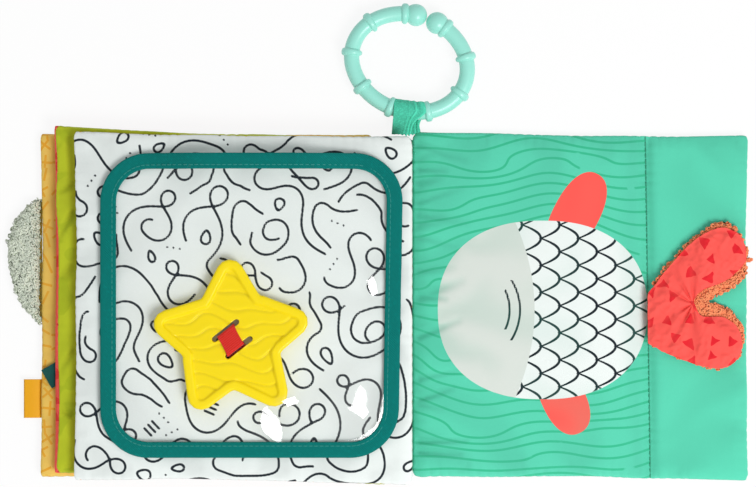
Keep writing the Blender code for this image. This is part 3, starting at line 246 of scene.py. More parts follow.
# %% Leaves, measured from their CAD cloths
EDGE_ROUNDING = 7.0 * MM
CORNER_RADIUS = 3.6 * MM
EDGE_DRAW_IN = 0.8 * MM
EDGE_WANDER = 0.9 * MM
# How far page 6 and page 7 reach towards each other, so that they meet at the spine
SPINE_REACH = {"leaf_3": 0.6 * MM, "back_cover": 0.5 * MM}
COVER_TUCK = 0.5 * MM
# The lime page lies higher at the spine than its CAD cloth, so that page 6 hides it there
LIME_SPINE_RISE = 0.8 * MM
CROWN_DROP = 0.5 * MM
PANEL_SEAM_LEAN = 2.4 * MM
PANEL_SEAM_DEPTH = 2.0 * MM
PANEL_SEAM_REACH = 2.9 * MM
seam_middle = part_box("plain_panel_cloth")[0].x + PANEL_SEAM_LEAN / 2


def swelling(share):
    """Height of a padded edge: 0 at the seam, 1 from the rounding inwards."""
    share = min(1.0, max(0.0, share))
    return math.sqrt(1 - (1 - share) ** 2)


class Leaf:
    def __init__(self, body, side, upper_nodes, lower_node):
        low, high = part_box(lower_node)
        self.body, self.side, self.low = body, side, low.z
        self.full = max(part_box(name)[1].z for name in upper_nodes) - low.z
        self.half_width, self.middle_x = (high.x - low.x) / 2, (low.x + high.x) / 2
        spots = np.array([v.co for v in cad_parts[lower_node].data.vertices])
        ends = []
        for edge in (low.x, high.x)[::side]:
            beside = spots[abs(spots[:, 0] - edge) < EDGE_ROUNDING, 1]
            ends.append((beside.min(), beside.max()))
        self.spine_y, self.fore_y = (sum(end) / 2 for end in ends)
        self.half_height = (ends[0][1] - ends[0][0]) / 2

    def middle_y(self, u):
        return self.spine_y + (self.fore_y - self.spine_y) * (u + 1) / 2

    def wander(self, along, side):
        """How far in an edge has come at this place along it, since no sewn edge is quite straight."""
        slow = noise.noise(Vector((2.3 * along, side, self.full / MM + self.low / MM)))
        return EDGE_WANDER * (0.35 + slow) * (1 - along**4)

    def half_x(self, u, v):
        if u <= 0:
            return self.half_width + SPINE_REACH.get(self.body, 0.0)
        return self.half_width - EDGE_DRAW_IN * (1 - v * v) - self.wander(v, 3.5)

    def plan(self, u, v):
        """Where (u, v) lies from the middle of the page."""
        half_x = self.half_x(u, v)
        half_y = self.half_height - EDGE_DRAW_IN * (1 - u * u) - self.wander(u, math.copysign(7.5, v))
        x, y = u * half_x, v * half_y
        over_x = (abs(x) - half_x) / CORNER_RADIUS + 1
        over_y = (abs(y) - half_y) / CORNER_RADIUS + 1
        if over_x > 0 and over_y > 0:
            in_x = CORNER_RADIUS * (1 - over_x * math.sqrt(1 - over_y**2 / 2))
            in_y = CORNER_RADIUS * (1 - over_y * math.sqrt(1 - over_x**2 / 2))
            x, y = math.copysign(half_x - in_x, x), math.copysign(half_y - in_y, y)
        return self.side * x, self.middle_y(u) - self.middle_y(0) + y

    def rise(self, u, v):
        across = swelling((1 - abs(u)) * self.half_width / EDGE_ROUNDING)
        return across * swelling((1 - abs(v)) * self.half_height / EDGE_ROUNDING)

    def place(self, u, v, upper):
        x, y = self.plan(u, v)
        middle = self.low + self.full / 2
        crown = CROWN_DROP * (1 - (1 - u * u) * (1 - v * v)) if upper else 0.0
        if self.body == "back_cover" and upper:
            away = (self.middle_x + x - self.seam_x(v)) / PANEL_SEAM_REACH
            crown += PANEL_SEAM_DEPTH * math.exp(-away * away)
        lift = (self.full / 2 - crown) * self.rise(u, v)
        return Vector((self.middle_x + x, self.middle_y(0) + y, middle + (lift if upper else -lift)))

    def seam_x(self, v):
        return seam_middle - PANEL_SEAM_LEAN * v / 2

    def seam_u(self, v):
        return (self.seam_x(v) - self.middle_x) / self.half_x(1, v)


back_cover = Leaf("back_cover", 1, ["fish_panel_cloth", "plain_panel_cloth"], "back_cover_outer_cloth")
leaf_3 = Leaf("leaf_3", -1, ["leaf_3_front_cloth"], "leaf_3_back_cloth")
leaf_2 = Leaf("leaf_2", -1, ["leaf_2_front_cloth"], "leaf_2_back_cloth")
front_cover = Leaf("front_cover", -1, ["front_cover_inner_cloth"], "front_cover_outer_cloth")
front_cover.half_height -= COVER_TUCK
front_cover.spine_y -= COVER_TUCK
leaf_2.spine_y += LIME_SPINE_RISE
for leaf in (back_cover, leaf_3, leaf_2, front_cover):
    sizes = (2 * leaf.half_width, 2 * leaf.half_height, leaf.full)
    print(leaf.body, "is", [round(size / MM, 1) for size in sizes], "mm")

# %% [markdown]
# ## Cloth that is simulated
# Sewn cloth puckers because the thread pulls the seam shorter than the cloth that it holds. That is easy to
# tell a cloth simulation: the bag of each leaf starts as the formula says, then the cloth grows by a few
# percent, its seam shrinks, and a little pressure stands for the wadding. What is kept is only the fine part of
# the movement, the wrinkles. They are pressed into the formula's surface, so each leaf stays clear of the next.

# %% The bag of a leaf, and its simulation
BAG_COLUMNS, BAG_ROWS = 56, 58
CLOTH_GROWS = 0.012
SEAM_SHRINKS = 0.05
WADDING_PRESSURE = 1.0
SIMULATED_FRAMES = 18
CLOTH_STIFFNESS = 12.0
LEAF_BENDING, TAIL_BENDING = 5.0, 0.4
CACHE_FRAMES = 60
EDGE_CROWDING = 0.15


def crowded(t):
    """Moves grid lines towards both edges, where the shape turns fastest."""
    return t * (1 + EDGE_CROWDING) - EDGE_CROWDING * t**3


def sewn_bag(leaf):
    """Upper and lower cloth as one closed mesh. Each vertex knows its column, its row and its side."""
    bm = bmesh.new()
    marks = [bm.verts.layers.int.new(name) for name in ("column", "row", "side")]
    for side in (0, 1):
        made = bmesh.ops.create_grid(bm, x_segments=BAG_COLUMNS, y_segments=BAG_ROWS, size=1)["verts"]
        for vert in made:
            u, v = vert.co.x, vert.co.y
            numbers = (round((u + 1) / 2 * BAG_COLUMNS), round((v + 1) / 2 * BAG_ROWS), side)
            for mark, number in zip(marks, numbers):
                vert[mark] = number
            vert.co = leaf.place(crowded(u), crowded(v), side == 1)
    bmesh.ops.remove_doubles(bm, verts=bm.verts, dist=0.001 * MM)
    bmesh.ops.recalc_face_normals(bm, faces=bm.faces)
    return bm


def stepped(obj, frames):
    """Runs the cloth simulation, and gives the simulated places of the vertices."""
    scene = bpy.context.scene
    for number in range(1, frames + 1):
        scene.frame_set(number)
    made = obj.evaluated_get(bpy.context.evaluated_depsgraph_get()).to_mesh()
    places = np.empty(len(made.vertices) * 3)
    made.vertices.foreach_get("co", places)
    scene.frame_set(1)
    return places.reshape(-1, 3)


def add_cloth(obj, pressure, grow, shrink, bending):
    """Cloth whose vertex group `seam` shrinks while the rest of it grows, without gravity."""
    modifier = obj.modifiers.new("Sewn cloth", "CLOTH")
    settings = modifier.settings
    settings.quality = 6
    settings.mass = 0.2
    settings.tension_stiffness = settings.compression_stiffness = CLOTH_STIFFNESS
    settings.shear_stiffness = CLOTH_STIFFNESS / 3
    settings.bending_stiffness = bending
    settings.use_pressure = True
    settings.uniform_pressure_force = pressure
    settings.effector_weights.gravity = 0
    settings.shrink_min, settings.shrink_max = -grow, shrink
    settings.vertex_group_shrink = "seam"
    modifier.collision_settings.use_collision = False
    modifier.collision_settings.use_self_collision = False
    modifier.point_cache.frame_end = CACHE_FRAMES


def helper_object(name, bm):
    """The plain object of a bmesh, which is used up."""
    mesh = bpy.data.meshes.new(name)
    bm.to_mesh(mesh)
    bm.free()
    obj = bpy.data.objects.new(name, mesh)
    bpy.context.scene.collection.objects.link(obj)
    return obj


def simulated_moves(leaf, seed):
    """How far the cloth moves up at [side, column, row], in metres."""
    moves = np.zeros((2, BAG_COLUMNS + 1, BAG_ROWS + 1))
    draw = random.Random(seed)
    bm = sewn_bag(leaf)
    for vert in bm.verts:
        vert.co.z += draw.uniform(-1, 1) * 0.05 * MM
    obj = helper_object("bag", bm)
    mesh = obj.data
    columns, rows, sides = (
        np.array([mark.value for mark in mesh.attributes[name].data]) for name in ("column", "row", "side")
    )
    rim = (columns % BAG_COLUMNS == 0) | (rows % BAG_ROWS == 0)
    group = obj.vertex_groups.new(name="seam")
    group.add([int(i) for i in np.flatnonzero(rim)], 1.0, "REPLACE")
    before = np.array([v.co for v in mesh.vertices])
    add_cloth(obj, WADDING_PRESSURE, CLOTH_GROWS, SEAM_SHRINKS, LEAF_BENDING)
    moved = (stepped(obj, SIMULATED_FRAMES) - before)[:, 2]
    moves[sides, columns, rows] = moved
    moves[:, columns[rim], rows[rim]] = moved[rim]
    bpy.data.objects.remove(obj)
    print(leaf.body, "moved by up to", round(float(np.abs(moved).max()) / MM, 2), "mm")
    return moves


# %% [markdown]
# ## From movement to wrinkles
# The simulated bag also swells like a pillow, which the stitched and pressed page doesn't. Taking away the
# average of the neighbourhood leaves the wrinkles. They are scaled to real depths, deep where the seam gathers
# the cloth and faint in the middle, and they only ever go inwards.

# %% Wrinkles of each leaf
BLUR_CELLS = 5
PUCKER_AT_SEAM = 0.95 * MM
PUCKER_IN_MIDDLE = 0.28 * MM
PUCKER_REACH = 17.0 * MM


def blurred(field):
    kernel = np.ones(2 * BLUR_CELLS + 1) / (2 * BLUR_CELLS + 1)
    for axis in (1, 2):
        wide = [(0, 0)] * field.ndim
        wide[axis] = (BLUR_CELLS, BLUR_CELLS)
        padded = np.pad(field, wide, mode="edge")
        field = np.apply_along_axis(np.convolve, axis, padded, kernel, "valid")
    return field


def wrinkles(leaf, seed):
    """How sunken the cloth is, from 0 to 1, at [side, column, row]."""
    moves = simulated_moves(leaf, seed)
    fine = moves - blurred(moves)
    fine[0] *= -1
    low, high = np.percentile(fine, (5, 95))
    if high == low:
        return fine * 0
    share = np.clip((fine - low) / (high - low), 0, 1)
    return 1 - share * share * (3 - 2 * share)


def read_grid(field, u, v):
    """Value of a [column, row] field at (u, v), between its nearest four cells."""
    column = min(BAG_COLUMNS - 1e-6, max(0.0, (u + 1) / 2 * BAG_COLUMNS))
    row = min(BAG_ROWS - 1e-6, max(0.0, (v + 1) / 2 * BAG_ROWS))
    i, j = int(column), int(row)
    s, t = column - i, row - j
    near = field[i, j] * (1 - t) + field[i, j + 1] * t
    far = field[i + 1, j] * (1 - t) + field[i + 1, j + 1] * t
    return near * (1 - s) + far * s


all_leaves = (back_cover, leaf_3, leaf_2, front_cover)
leaf_wrinkles = {leaf.body: wrinkles(leaf, seed) for seed, leaf in enumerate(all_leaves)}

# %% [markdown]
# ## The shell of one cloth
# Each cloth is a fine grid laid on the formula, so that a printed line and a stitch both have points of their
# own. Three things then press into it: the simulated wrinkles, the scallops that a running stitch pulls into an
# edge, and the creases that the photograph shows. How deep each point has sunk is stored as `pucker`, and how
# far it lies from the seam as `edge_mm`, so that the material can paint shade into the one and wear into the other.

# %% Shells
CLOTH_THICKNESS = 0.4 * MM
PANEL_PUCKER = 0.4 * MM
SCALLOP_PITCH = 4.6 * MM
SCALLOP_INSET = 0.3 * MM
SCALLOP_DEPTH = 0.5 * MM
SCALLOP_REACH = 3.2 * MM
SCALLOP_WANDER = 1.7
LEAST_LIFT = 0.12 * MM
# How far in and how far up the fore-edge seam has rolled: on leaf 2 the lower cloth shows, on the cover the upper
FORE_EDGE_ROLLS = {"leaf_2": (2.1 * MM, 1.3 * MM), "front_cover": (1.0 * MM, -1.2 * MM)}
ROLL_REACH = 5.0 * MM
ROLL_WAVE = 24.0 * MM


def valley(run, seed):
    """1 in the narrow valleys between two stitches of an edge, 0 on the swells."""
    wander = SCALLOP_WANDER * noise.noise(Vector((run / (9 * MM), seed, 0.5)))
    strength = min(1.0, max(0.12, 0.5 + 1.1 * noise.noise(Vector((run / (13 * MM), seed, 8.5)))))
    return strength * (0.5 + 0.5 * math.cos(FULL_TURN * run / SCALLOP_PITCH + wander)) ** 2.5


def crease_depth(creases, spot):
    """Each crease is a line from one point to another in metres, with its depth and its width."""
    deepest = 0.0
    for start, end, depth, width in creases:
        a, run = Vector(start), Vector(end) - Vector(start)
        share = (spot.xy - a).dot(run) / run.length_squared
        away = (spot.xy - a - run * min(1.0, max(0.0, share))).length
        taper = 1 - 0.75 * min(1.0, max(0.0, share))
        deepest = max(deepest, depth * taper * math.exp(-((away / width) ** 2)))
    return deepest


def rolled(leaf, upper, spot, to_side):
    """Moves the fore-edge seam off the middle of the edge, so that one cloth rolls over and shows as a sliver."""
    inset, rise = FORE_EDGE_ROLLS.get(leaf.body, (0.0, 0.0))
    inset *= 0.8 - 0.35 * spot.y / leaf.half_height + 0.5 * noise.noise(Vector((0, spot.y / ROLL_WAVE, 2.5)))
    inner = (rise > 0) == upper
    share = min(1.0, to_side / ROLL_REACH)
    if inner:
        inset *= math.exp(-to_side / (0.6 * ROLL_REACH))
        rise *= math.exp(-to_side / (0.5 * ROLL_REACH))
    else:
        slack = share * share * (3 - 2 * share)
        inset = to_side * (slack - 1) + inset * math.exp(-((to_side / (0.16 * ROLL_REACH)) ** 2))
        rise *= math.exp(-((to_side / (0.26 * ROLL_REACH)) ** 2))
    spot.x += -leaf.side * inset if inset else 0.0
    spot.z += rise


def cloth_shell(name, leaf, upper, cells, span=None, creases=()):
    """A grid of (columns, rows) cells on a leaf, from one u to another, each a number or a function of v."""
    bm = bmesh.new()
    pucker, edge = (bm.verts.layers.float.new(layer) for layer in ("pucker", "edge_mm"))
    made = bmesh.ops.create_grid(bm, x_segments=cells[0], y_segments=cells[1], size=1)["verts"]
    field = leaf_wrinkles[leaf.body][1 if upper else 0]
    middle = leaf.low + leaf.full / 2
    for vert in made:
        v = crowded(vert.co.y)
        start, end = span(v) if span else (-1.0, 1.0)
        u = start + (end - start) * (crowded(vert.co.x) + 1) / 2
        spot = leaf.place(u, v, upper)
        to_side, to_end = (1 - abs(u)) * leaf.half_width, (1 - abs(v)) * leaf.half_height
        from_seam = min(to_side, to_end)
        in_side = valley(spot.y, leaf.low / MM + (u > 0)) * math.exp(-to_side / SCALLOP_REACH)
        in_end = valley(spot.x, leaf.low / MM + 7 + (v > 0)) * math.exp(-to_end / SCALLOP_REACH)
        depth = PUCKER_IN_MIDDLE + (PUCKER_AT_SEAM - PUCKER_IN_MIDDLE) * math.exp(-from_seam / PUCKER_REACH)
        sunk = depth * read_grid(field, u, v) + SCALLOP_DEPTH * max(in_side, in_end)
        sunk += crease_depth(creases, spot)
        if span:
            from_panel_seam = abs(spot.x - leaf.seam_x(v))
            sunk += PANEL_PUCKER * valley(spot.y, 21) * math.exp(-from_panel_seam / SCALLOP_REACH)
        lift = abs(spot.z - middle)
        held = min(lift, max(LEAST_LIFT * leaf.rise(u, v), lift - sunk * leaf.rise(u, v)))
        spot.z = middle + (held if upper else -held)
        spot.x -= math.copysign(SCALLOP_INSET * in_side, u) * leaf.side
        spot.y -= math.copysign(SCALLOP_INSET * in_end, v)
        if u > 0:
            rolled(leaf, upper, spot, to_side)
        vert.co = spot
        vert[pucker], vert[edge] = min(1.0, (lift - held) / MM), from_seam / MM
    if (leaf.side == 1) != upper:
        bmesh.ops.reverse_faces(bm, faces=bm.faces)
    return made_object(name, bm, CLOTH_THICKNESS)


def made_object(name, bm, thickness=0.0, offset=-1.0):
    """The object of a bmesh: smooth, and with a wall where it is an open sheet."""
    obj = helper_object(name, bm)
    obj.data.shade_smooth()
    if thickness:
        wall = obj.modifiers.new("Thickness", "SOLIDIFY")
        wall.thickness, wall.offset, wall.use_even_offset = thickness, offset, True
    return obj


def finish_piece(obj, look, body, slot, *nodes, fill=None):
    """Gives a piece its material and its body, and hides the CAD nodes that it stands for; its slot is not used."""
    obj.data.materials.clear()
    obj.data.materials.append(look.done())
    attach(obj, body)
    if nodes:
        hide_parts(*nodes)
    heights = [corner[2] / MM for corner in obj.bound_box]
    print(obj.name, len(obj.data.vertices), "vertices, from", round(min(heights), 2), "to", round(max(heights), 2))
    return obj


def vertex_places(mesh):
    places = np.empty(len(mesh.vertices) * 3)
    mesh.vertices.foreach_get("co", places)
    return places.reshape(-1, 3)


def store(mesh, name, values):
    """Keeps a number for each vertex, which a look reads by its name."""
    layer = mesh.attributes.new(name, "FLOAT", "POINT")
    layer.data.foreach_set("value", np.asarray(values, dtype=np.float32))


# %% [markdown]
# ## A drawn line for page 6
# The white page is covered by one thin black line that strolls about and curls over itself. Drawing it by hand
# would take hundreds of points. Here a pen walks over the page instead, from seeded random numbers. It bends left
# and right in turn, a bend of more than about three quarters of a circle closes into a loop by itself, and it
# steers away from ink that is already there. Each vertex of the page then learns how far it is from the nearest
# ink, and the material blackens what is nearer than half a line.

# %% The walking pen
# In mm, and in steps of the pen
PEN_STEP = 0.6
PEN_CELL = 0.5
PAGE_CELLS = 376
LEAST_GAP = 3.6
LONGEST_LINE = 520
SHORTEST_LINE = 58
CURL_CHANCE = 0.36
LONGEST_DODGE = 16
CURL_MEMORY = 56
LOOK_AHEAD = 12
DODGE_ANGLE = 0.9
DODGE_TURN = 0.16
DOT_SPACING = 3.0
TICK_SPACING = 2.5
LINE_TRIES, TICK_TRIES, PEBBLE_TRIES, DOT_TRIES = 1400, 30, 700, 500
INK_HALF_WIDTH = 0.62
DISC_CELLS = 7
ink_disc = np.hypot(*np.mgrid[-DISC_CELLS : DISC_CELLS + 1, -DISC_CELLS : DISC_CELLS + 1]) * PEN_CELL <= LEAST_GAP


def cell_of(x, y):
    return int(x / PEN_CELL) + PAGE_CELLS // 2, int(y / PEN_CELL) + PAGE_CELLS // 2


def blocked(taken, x, y, half_x, half_y):
    return abs(x) > half_x or abs(y) > half_y or taken[cell_of(x, y)]


def mark(taken, x, y):
    i, j = cell_of(x, y)
    taken[i - DISC_CELLS : i + DISC_CELLS + 1, j - DISC_CELLS : j + DISC_CELLS + 1] |= ink_disc


def strolled(draw, taken, half_x, half_y):
    """One line of the pen, as points in mm about the middle of the page."""
    x, y = draw.uniform(-half_x, half_x), draw.uniform(-half_y, half_y)
    if blocked(taken, x, y, half_x, half_y):
        return []
    heading, taken = draw.uniform(0, FULL_TURN), taken.copy()
    line, reach = [(x, y)], LOOK_AHEAD * PEN_STEP
    phase, rate, sway, bend, dodged = math.pi, 0.0, 1.0, 0.0, 0
    while len(line) < LONGEST_LINE and dodged < LONGEST_DODGE:
        if phase >= math.pi:
            phase, rate = 0.0, draw.uniform(0.045, 0.1)
            same_way = draw.random() < 0.2 and abs(bend) < 2
            bend = draw.uniform(2.35, 2.8) if draw.random() < CURL_CHANCE else draw.uniform(0.5, 1.7)
            bend = min(bend, 1.2) if same_way else bend
            sway = math.copysign(rate * bend, sway if same_way else -sway)
        turn, phase = sway * math.sin(phase), phase + rate
        free = []
        for side in (0, 1, -1):
            angle = heading + side * DODGE_ANGLE
            there = x + reach * math.cos(angle), y + reach * math.sin(angle)
            free.append(not blocked(taken, *there, half_x, half_y))
        dodged = 0 if free[0] else dodged + 1
        if not free[0]:
            turn = DODGE_TURN if free[1] else -DODGE_TURN if free[2] else turn
        heading += turn
        x, y = x + PEN_STEP * math.cos(heading), y + PEN_STEP * math.sin(heading)
        if blocked(taken, x, y, half_x, half_y):
            break
        line.append((x, y))
        if len(line) > CURL_MEMORY:
            mark(taken, *line[-CURL_MEMORY])
    return line


def pebble(draw):
    """A small closed shape, round at one end and slim at the other."""
    size, squash = draw.uniform(2.6, 4.6), draw.uniform(0.5, 0.8)
    turns = [k * PEN_STEP / size for k in range(int(FULL_TURN * size / PEN_STEP))]
    return [
        (size * math.cos(turn), size * squash * math.sin(turn) * (1 + 0.35 * math.cos(turn))) for turn in turns
    ]


def dots(draw):
    """Three small dots in a row."""
    return [(DOT_SPACING * k, 0.0) for k in (-1, 0, 1)]


def ticks(draw):
    """Three short strokes side by side."""
    return [(k * PEN_STEP, TICK_SPACING * beside) for beside in (-1, 0, 1) for k in range(-4, 5)]


def dropped(draw, taken, half_x, half_y, motif):
    """A small motif at a random place and angle, if there is room for it."""
    x, y = draw.uniform(-half_x, half_x), draw.uniform(-half_y, half_y)
    angle = draw.uniform(0, FULL_TURN)
    cos, sin = math.cos(angle), math.sin(angle)
    spots = [(x + along * cos - across * sin, y + along * sin + across * cos) for along, across in motif(draw)]
    return [] if any(blocked(taken, *spot, half_x, half_y) for spot in spots) else spots


def drawn_page(seed, half_x, half_y):
    draw = random.Random(seed)
    taken = np.zeros((PAGE_CELLS, PAGE_CELLS), bool)
    ink, rows = [], 0
    for motif in [strolled] * LINE_TRIES + [ticks] * TICK_TRIES + [pebble] * PEBBLE_TRIES + [dots] * DOT_TRIES:
        if motif is strolled:
            line = strolled(draw, taken, half_x, half_y)
            if len(line) < SHORTEST_LINE:
                continue
        else:
            line = dropped(draw, taken, half_x, half_y, motif)
        for x, y in line:
            mark(taken, x, y)
        ink, rows = ink + line, rows + bool(line)
    print(rows, "strokes with", len(ink), "points")
    return ink


def search_tree(points):
    """A tree that finds the nearest of these points, given in two or three coordinates."""
    tree = KDTree(len(points))
    for number, point in enumerate(points):
        tree.insert((*point, 0.0)[:3], number)
    tree.balance()
    return tree


def distances_to(ink, places):
    """Distance in mm from each place, also in mm, to the nearest ink."""
    tree = search_tree(ink)
    return [tree.find((x, y, 0))[2] for x, y in places]


page_6_ink = drawn_page(18, round(leaf_3.half_width / MM) + 2, round(leaf_3.half_height / MM) + 2)

# %% [markdown]
# ## Page 6: white cloth with the drawn line
# The cloth is white with a cool tint, and its ink is nearly black. Screen print sits on top of the threads, so
# it fills the weave a little and shines a little more, which is what the lower roughness under the mask does.

# %% Page 6
WHITE = srgb(238, 245, 242)
INK = srgb(26, 36, 44)
PAGE_6_CELLS = (212, 216)
PRINT_EDGE = 0.16
LEAF_FILL = 0.35


page_6 = cloth_shell("page_6_cloth", leaf_3, True, PAGE_6_CELLS)
middle = np.array([leaf_3.middle_x, leaf_3.middle_y(0)])
store(page_6.data, "ink_mm", distances_to(page_6_ink, (vertex_places(page_6.data)[:, :2] - middle) / MM))
page_6_look = cloth("White cloth with a drawn line", WHITE)
painted_shade_and_wear(page_6_look, WHITE)
ink_mask = page_6_look.stored("ink_mm").below(INK_HALF_WIDTH, PRINT_EDGE)
page_6_look.paint(ink_mask, INK)
page_6_look.rough = page_6_look.rough - ink_mask * 0.12
finish_piece(page_6, page_6_look, "leaf_3", "white_cloth", "leaf_3_front_cloth", "leaf_3_wadding", fill=LEAF_FILL)

# %% [markdown]
# ## Page 7: grain lines and a plain fish
# The right page carries darker green lines like the grain of planed wood, and a round fish. The grain is a
# contour map: a smooth field that mostly rises up the page, with slow waves and a few hills in it, and each
# contour is a line. It needs no drawing, it forks and closes into lenses by itself, and it parts round the
# fish. The fish is a generic one: an oval with rows of scales, a grey head without a face, and two fins.

# %% Fields of page 7, in millimetres
GRAIN_SPACING = 6.4
FISH_MIDDLE = (64.0, -2.0)
FISH_HALF = (50.5, 43.0)
HEAD_EDGE = 60.0
KNOTS = (
    (38, 66, 17, 5, 6), (86, 72, 22, 4, -5), (20, 47, 12, 6, 5), (30, -62, 19, 5, 6),
    (92, -58, 14, 5, -5), (14, -28, 8, 9, 4), (66, -76, 20, 4, 5), (12, 14, 9, 6, -5),
)


def grain_field(x, y):
    away_x, away_y = x - FISH_MIDDLE[0], y - FISH_MIDDLE[1]
    near = np.exp(-((away_x / 52) ** 2)) * np.exp(-(((np.abs(away_y) - 34) / 44) ** 2))
    field = y - 13 * np.tanh(away_y / 16) * near
    field += 2.6 * np.sin(x / 15 + 0.6) + 1.7 * np.sin(x / 8.5 + y / 21) + 1.9 * np.sin(y / 17 - x / 29)
    for middle_x, middle_y, wide, tall, height in KNOTS:
        field += height * np.exp(-(((x - middle_x) / wide) ** 2) - ((y - middle_y) / tall) ** 2)
    return field / GRAIN_SPACING


def oval_distance(x, y, middle, half, turn=0.0, power=2.3):
    """Signed distance to a slightly squared oval, negative inside."""
    cos, sin = math.cos(turn), math.sin(turn)
    along = (x - middle[0]) * cos + (y - middle[1]) * sin
    across = (y - middle[1]) * cos - (x - middle[0]) * sin
    size = (np.abs(along / half[0]) ** power + np.abs(across / half[1]) ** power) ** (1 / power)
    slope = np.hypot(along / half[0] ** 2, across / half[1] ** 2) / np.maximum(size, 0.05)
    return (size - 1) / np.maximum(slope, 0.004)


def store_fish(mesh):
    x, y = (vertex_places(mesh)[:, :2] / MM).T
    store(mesh, "grain", grain_field(x, y))
    steps = [grain_field(x + dx, y + dy) - grain_field(x - dx, y - dy) for dx, dy in ((0.25, 0), (0, 0.25))]
    store(mesh, "grain_steep", np.maximum(np.hypot(*steps) * 2, 0.05))
    store(mesh, "fish_mm", oval_distance(x, y, FISH_MIDDLE, FISH_HALF))
    store(mesh, "head_mm", x - HEAD_EDGE + 0.0052 * (y - FISH_MIDDLE[1]) ** 2)
    upper_fin = oval_distance(x, y, (80.0, 44.0), (22.0, 11.0), math.radians(62))
    lower_fin = oval_distance(x, y, (74.0, -45.0), (18.0, 10.5), math.radians(-64))
    store(mesh, "fin_mm", np.minimum(upper_fin, lower_fin))
    gills = [np.abs(np.hypot(x - 26, y + 2) - reach) + 9 * (np.abs(y + 2) > tall) + 99 * (x < 26)
             for reach, tall in ((22.0, 10.0), (27.0, 15.0))]
    store(mesh, "gill_mm", np.minimum(*gills))


# %% [markdown]
# ## Fish scales from two rows of arcs
# A row of scales is a chain of equal arcs, and the next row is the same chain moved by half a scale. In a
# shader that is a parabola that repeats: the height in the scale, from -1 to 1, squared, bends the row, and
# what is left after dividing by the row distance tells how near the next line is.

# %% Looks of page 7
TURQUOISE = srgb(92, 214, 180)
GRAIN_GREEN = srgb(58, 190, 145)
CORAL = srgb(255, 92, 84)
HEAD_GREY = srgb(218, 225, 218)
SCALE_ROW = 9.0 * MM
SCALE_HEIGHT = 13.0 * MM
SCALE_LINE = 0.62 * MM


def repeating(look, value):
    """What is left of a number after its whole part."""
    return look.maths("FRACT", value)


def scale_lines(look):
    rows = []
    for shift in (0.0, 0.5):
        up = repeating(look, look.y * (1 / SCALE_HEIGHT) + shift) * 2 - 1
        across = (look.x + up * up * SCALE_ROW) * (0.5 / SCALE_ROW) + shift
        slope = up * (4 * SCALE_ROW / SCALE_HEIGHT)
        steep = look.maths("SQRT", slope * slope + 1)
        near = look.maths("ABSOLUTE", repeating(look, across) - 0.5) * (2 * SCALE_ROW)
        rows.append(look.maths("MAXIMUM", look.maths("DIVIDE", near, steep), near - 0.5 * MM))
    return look.maths("MINIMUM", *rows).below(SCALE_LINE, 0.12 * MM)


def paint_fish(look):
    from_line = look.maths("ABSOLUTE", repeating(look, look.stored("grain")) - 0.5)
    from_line = look.maths("DIVIDE", from_line, look.stored("grain_steep"))
    unbroken = look.cloudy(16 * MM, 1.0).above(0.3, 0.015)
    look.paint(from_line.below(0.56, 0.14) * unbroken, GRAIN_GREEN)
    look.paint(look.stored("fin_mm").below(0, 0.14), CORAL)
    inside = look.stored("fish_mm").below(0, 0.14)
    look.paint(inside, WHITE)
    look.paint(inside * scale_lines(look), INK)
    look.paint(inside * look.stored("head_mm").below(0, 0.14), HEAD_GREY)
    look.paint(inside * look.stored("gill_mm").below(0.55, 0.14), INK)


spine_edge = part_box("fish_panel_cloth")[0].x
SPINE_GATHERS = 18
gathers = []
draw = random.Random(17)
for _ in range(SPINE_GATHERS):
    height = draw.uniform(-78, 80) * MM
    reach, slope = draw.uniform(9, 26) * MM, draw.uniform(-0.3, 0.35)
    start, end = (spine_edge + 2.5 * MM, height), (spine_edge + reach, height + slope * reach)
    gathers.append((start, end, draw.uniform(0.8, 2.0) * MM, draw.uniform(1.1, 2.6) * MM))
panel_gap = 0.05 * MM / back_cover.half_width
panels = (
    ("fish_panel", 150, lambda v: (-1.0, back_cover.seam_u(v) - panel_gap), gathers),
    ("plain_panel", 66, lambda v: (back_cover.seam_u(v) + panel_gap, 1.0), ()),
)
for name, columns, span, creases in panels:
    shell = cloth_shell(name, back_cover, True, (columns, 216), span, creases)
    look = cloth("Turquoise cloth, " + name.replace("_", " "), TURQUOISE)
    nodes = [name + "_cloth"]
    if name == "fish_panel":
        store_fish(shell.data)
        paint_fish(look)
        nodes.append("back_cover_wadding")
    painted_shade_and_wear(look, TURQUOISE)
    # painted shade: the page darkens over its first few millimetres from the spine, where the stacked leaves shade it
    look.paint(look.x.below(6 * MM, 5 * MM) * 0.4, tinted(TURQUOISE, 0.62))
    finish_piece(shell, look, "back_cover", "turquoise_cloth", *nodes, fill=LEAF_FILL)

# %% [markdown]
# ## Small shapes strewn over a cloth
# The yellow cloth carries orange sticks and crosses, the coral one rounded triangles. A Voronoi texture strews
# centres at random, and it tells at each point where its own centre is. The way to that centre, turned by an
# angle that is random for each centre, gives local coordinates, in which a stick or a triangle is a short
# sum. Such a pattern stays sharp at any size, because no mesh has to carry it.


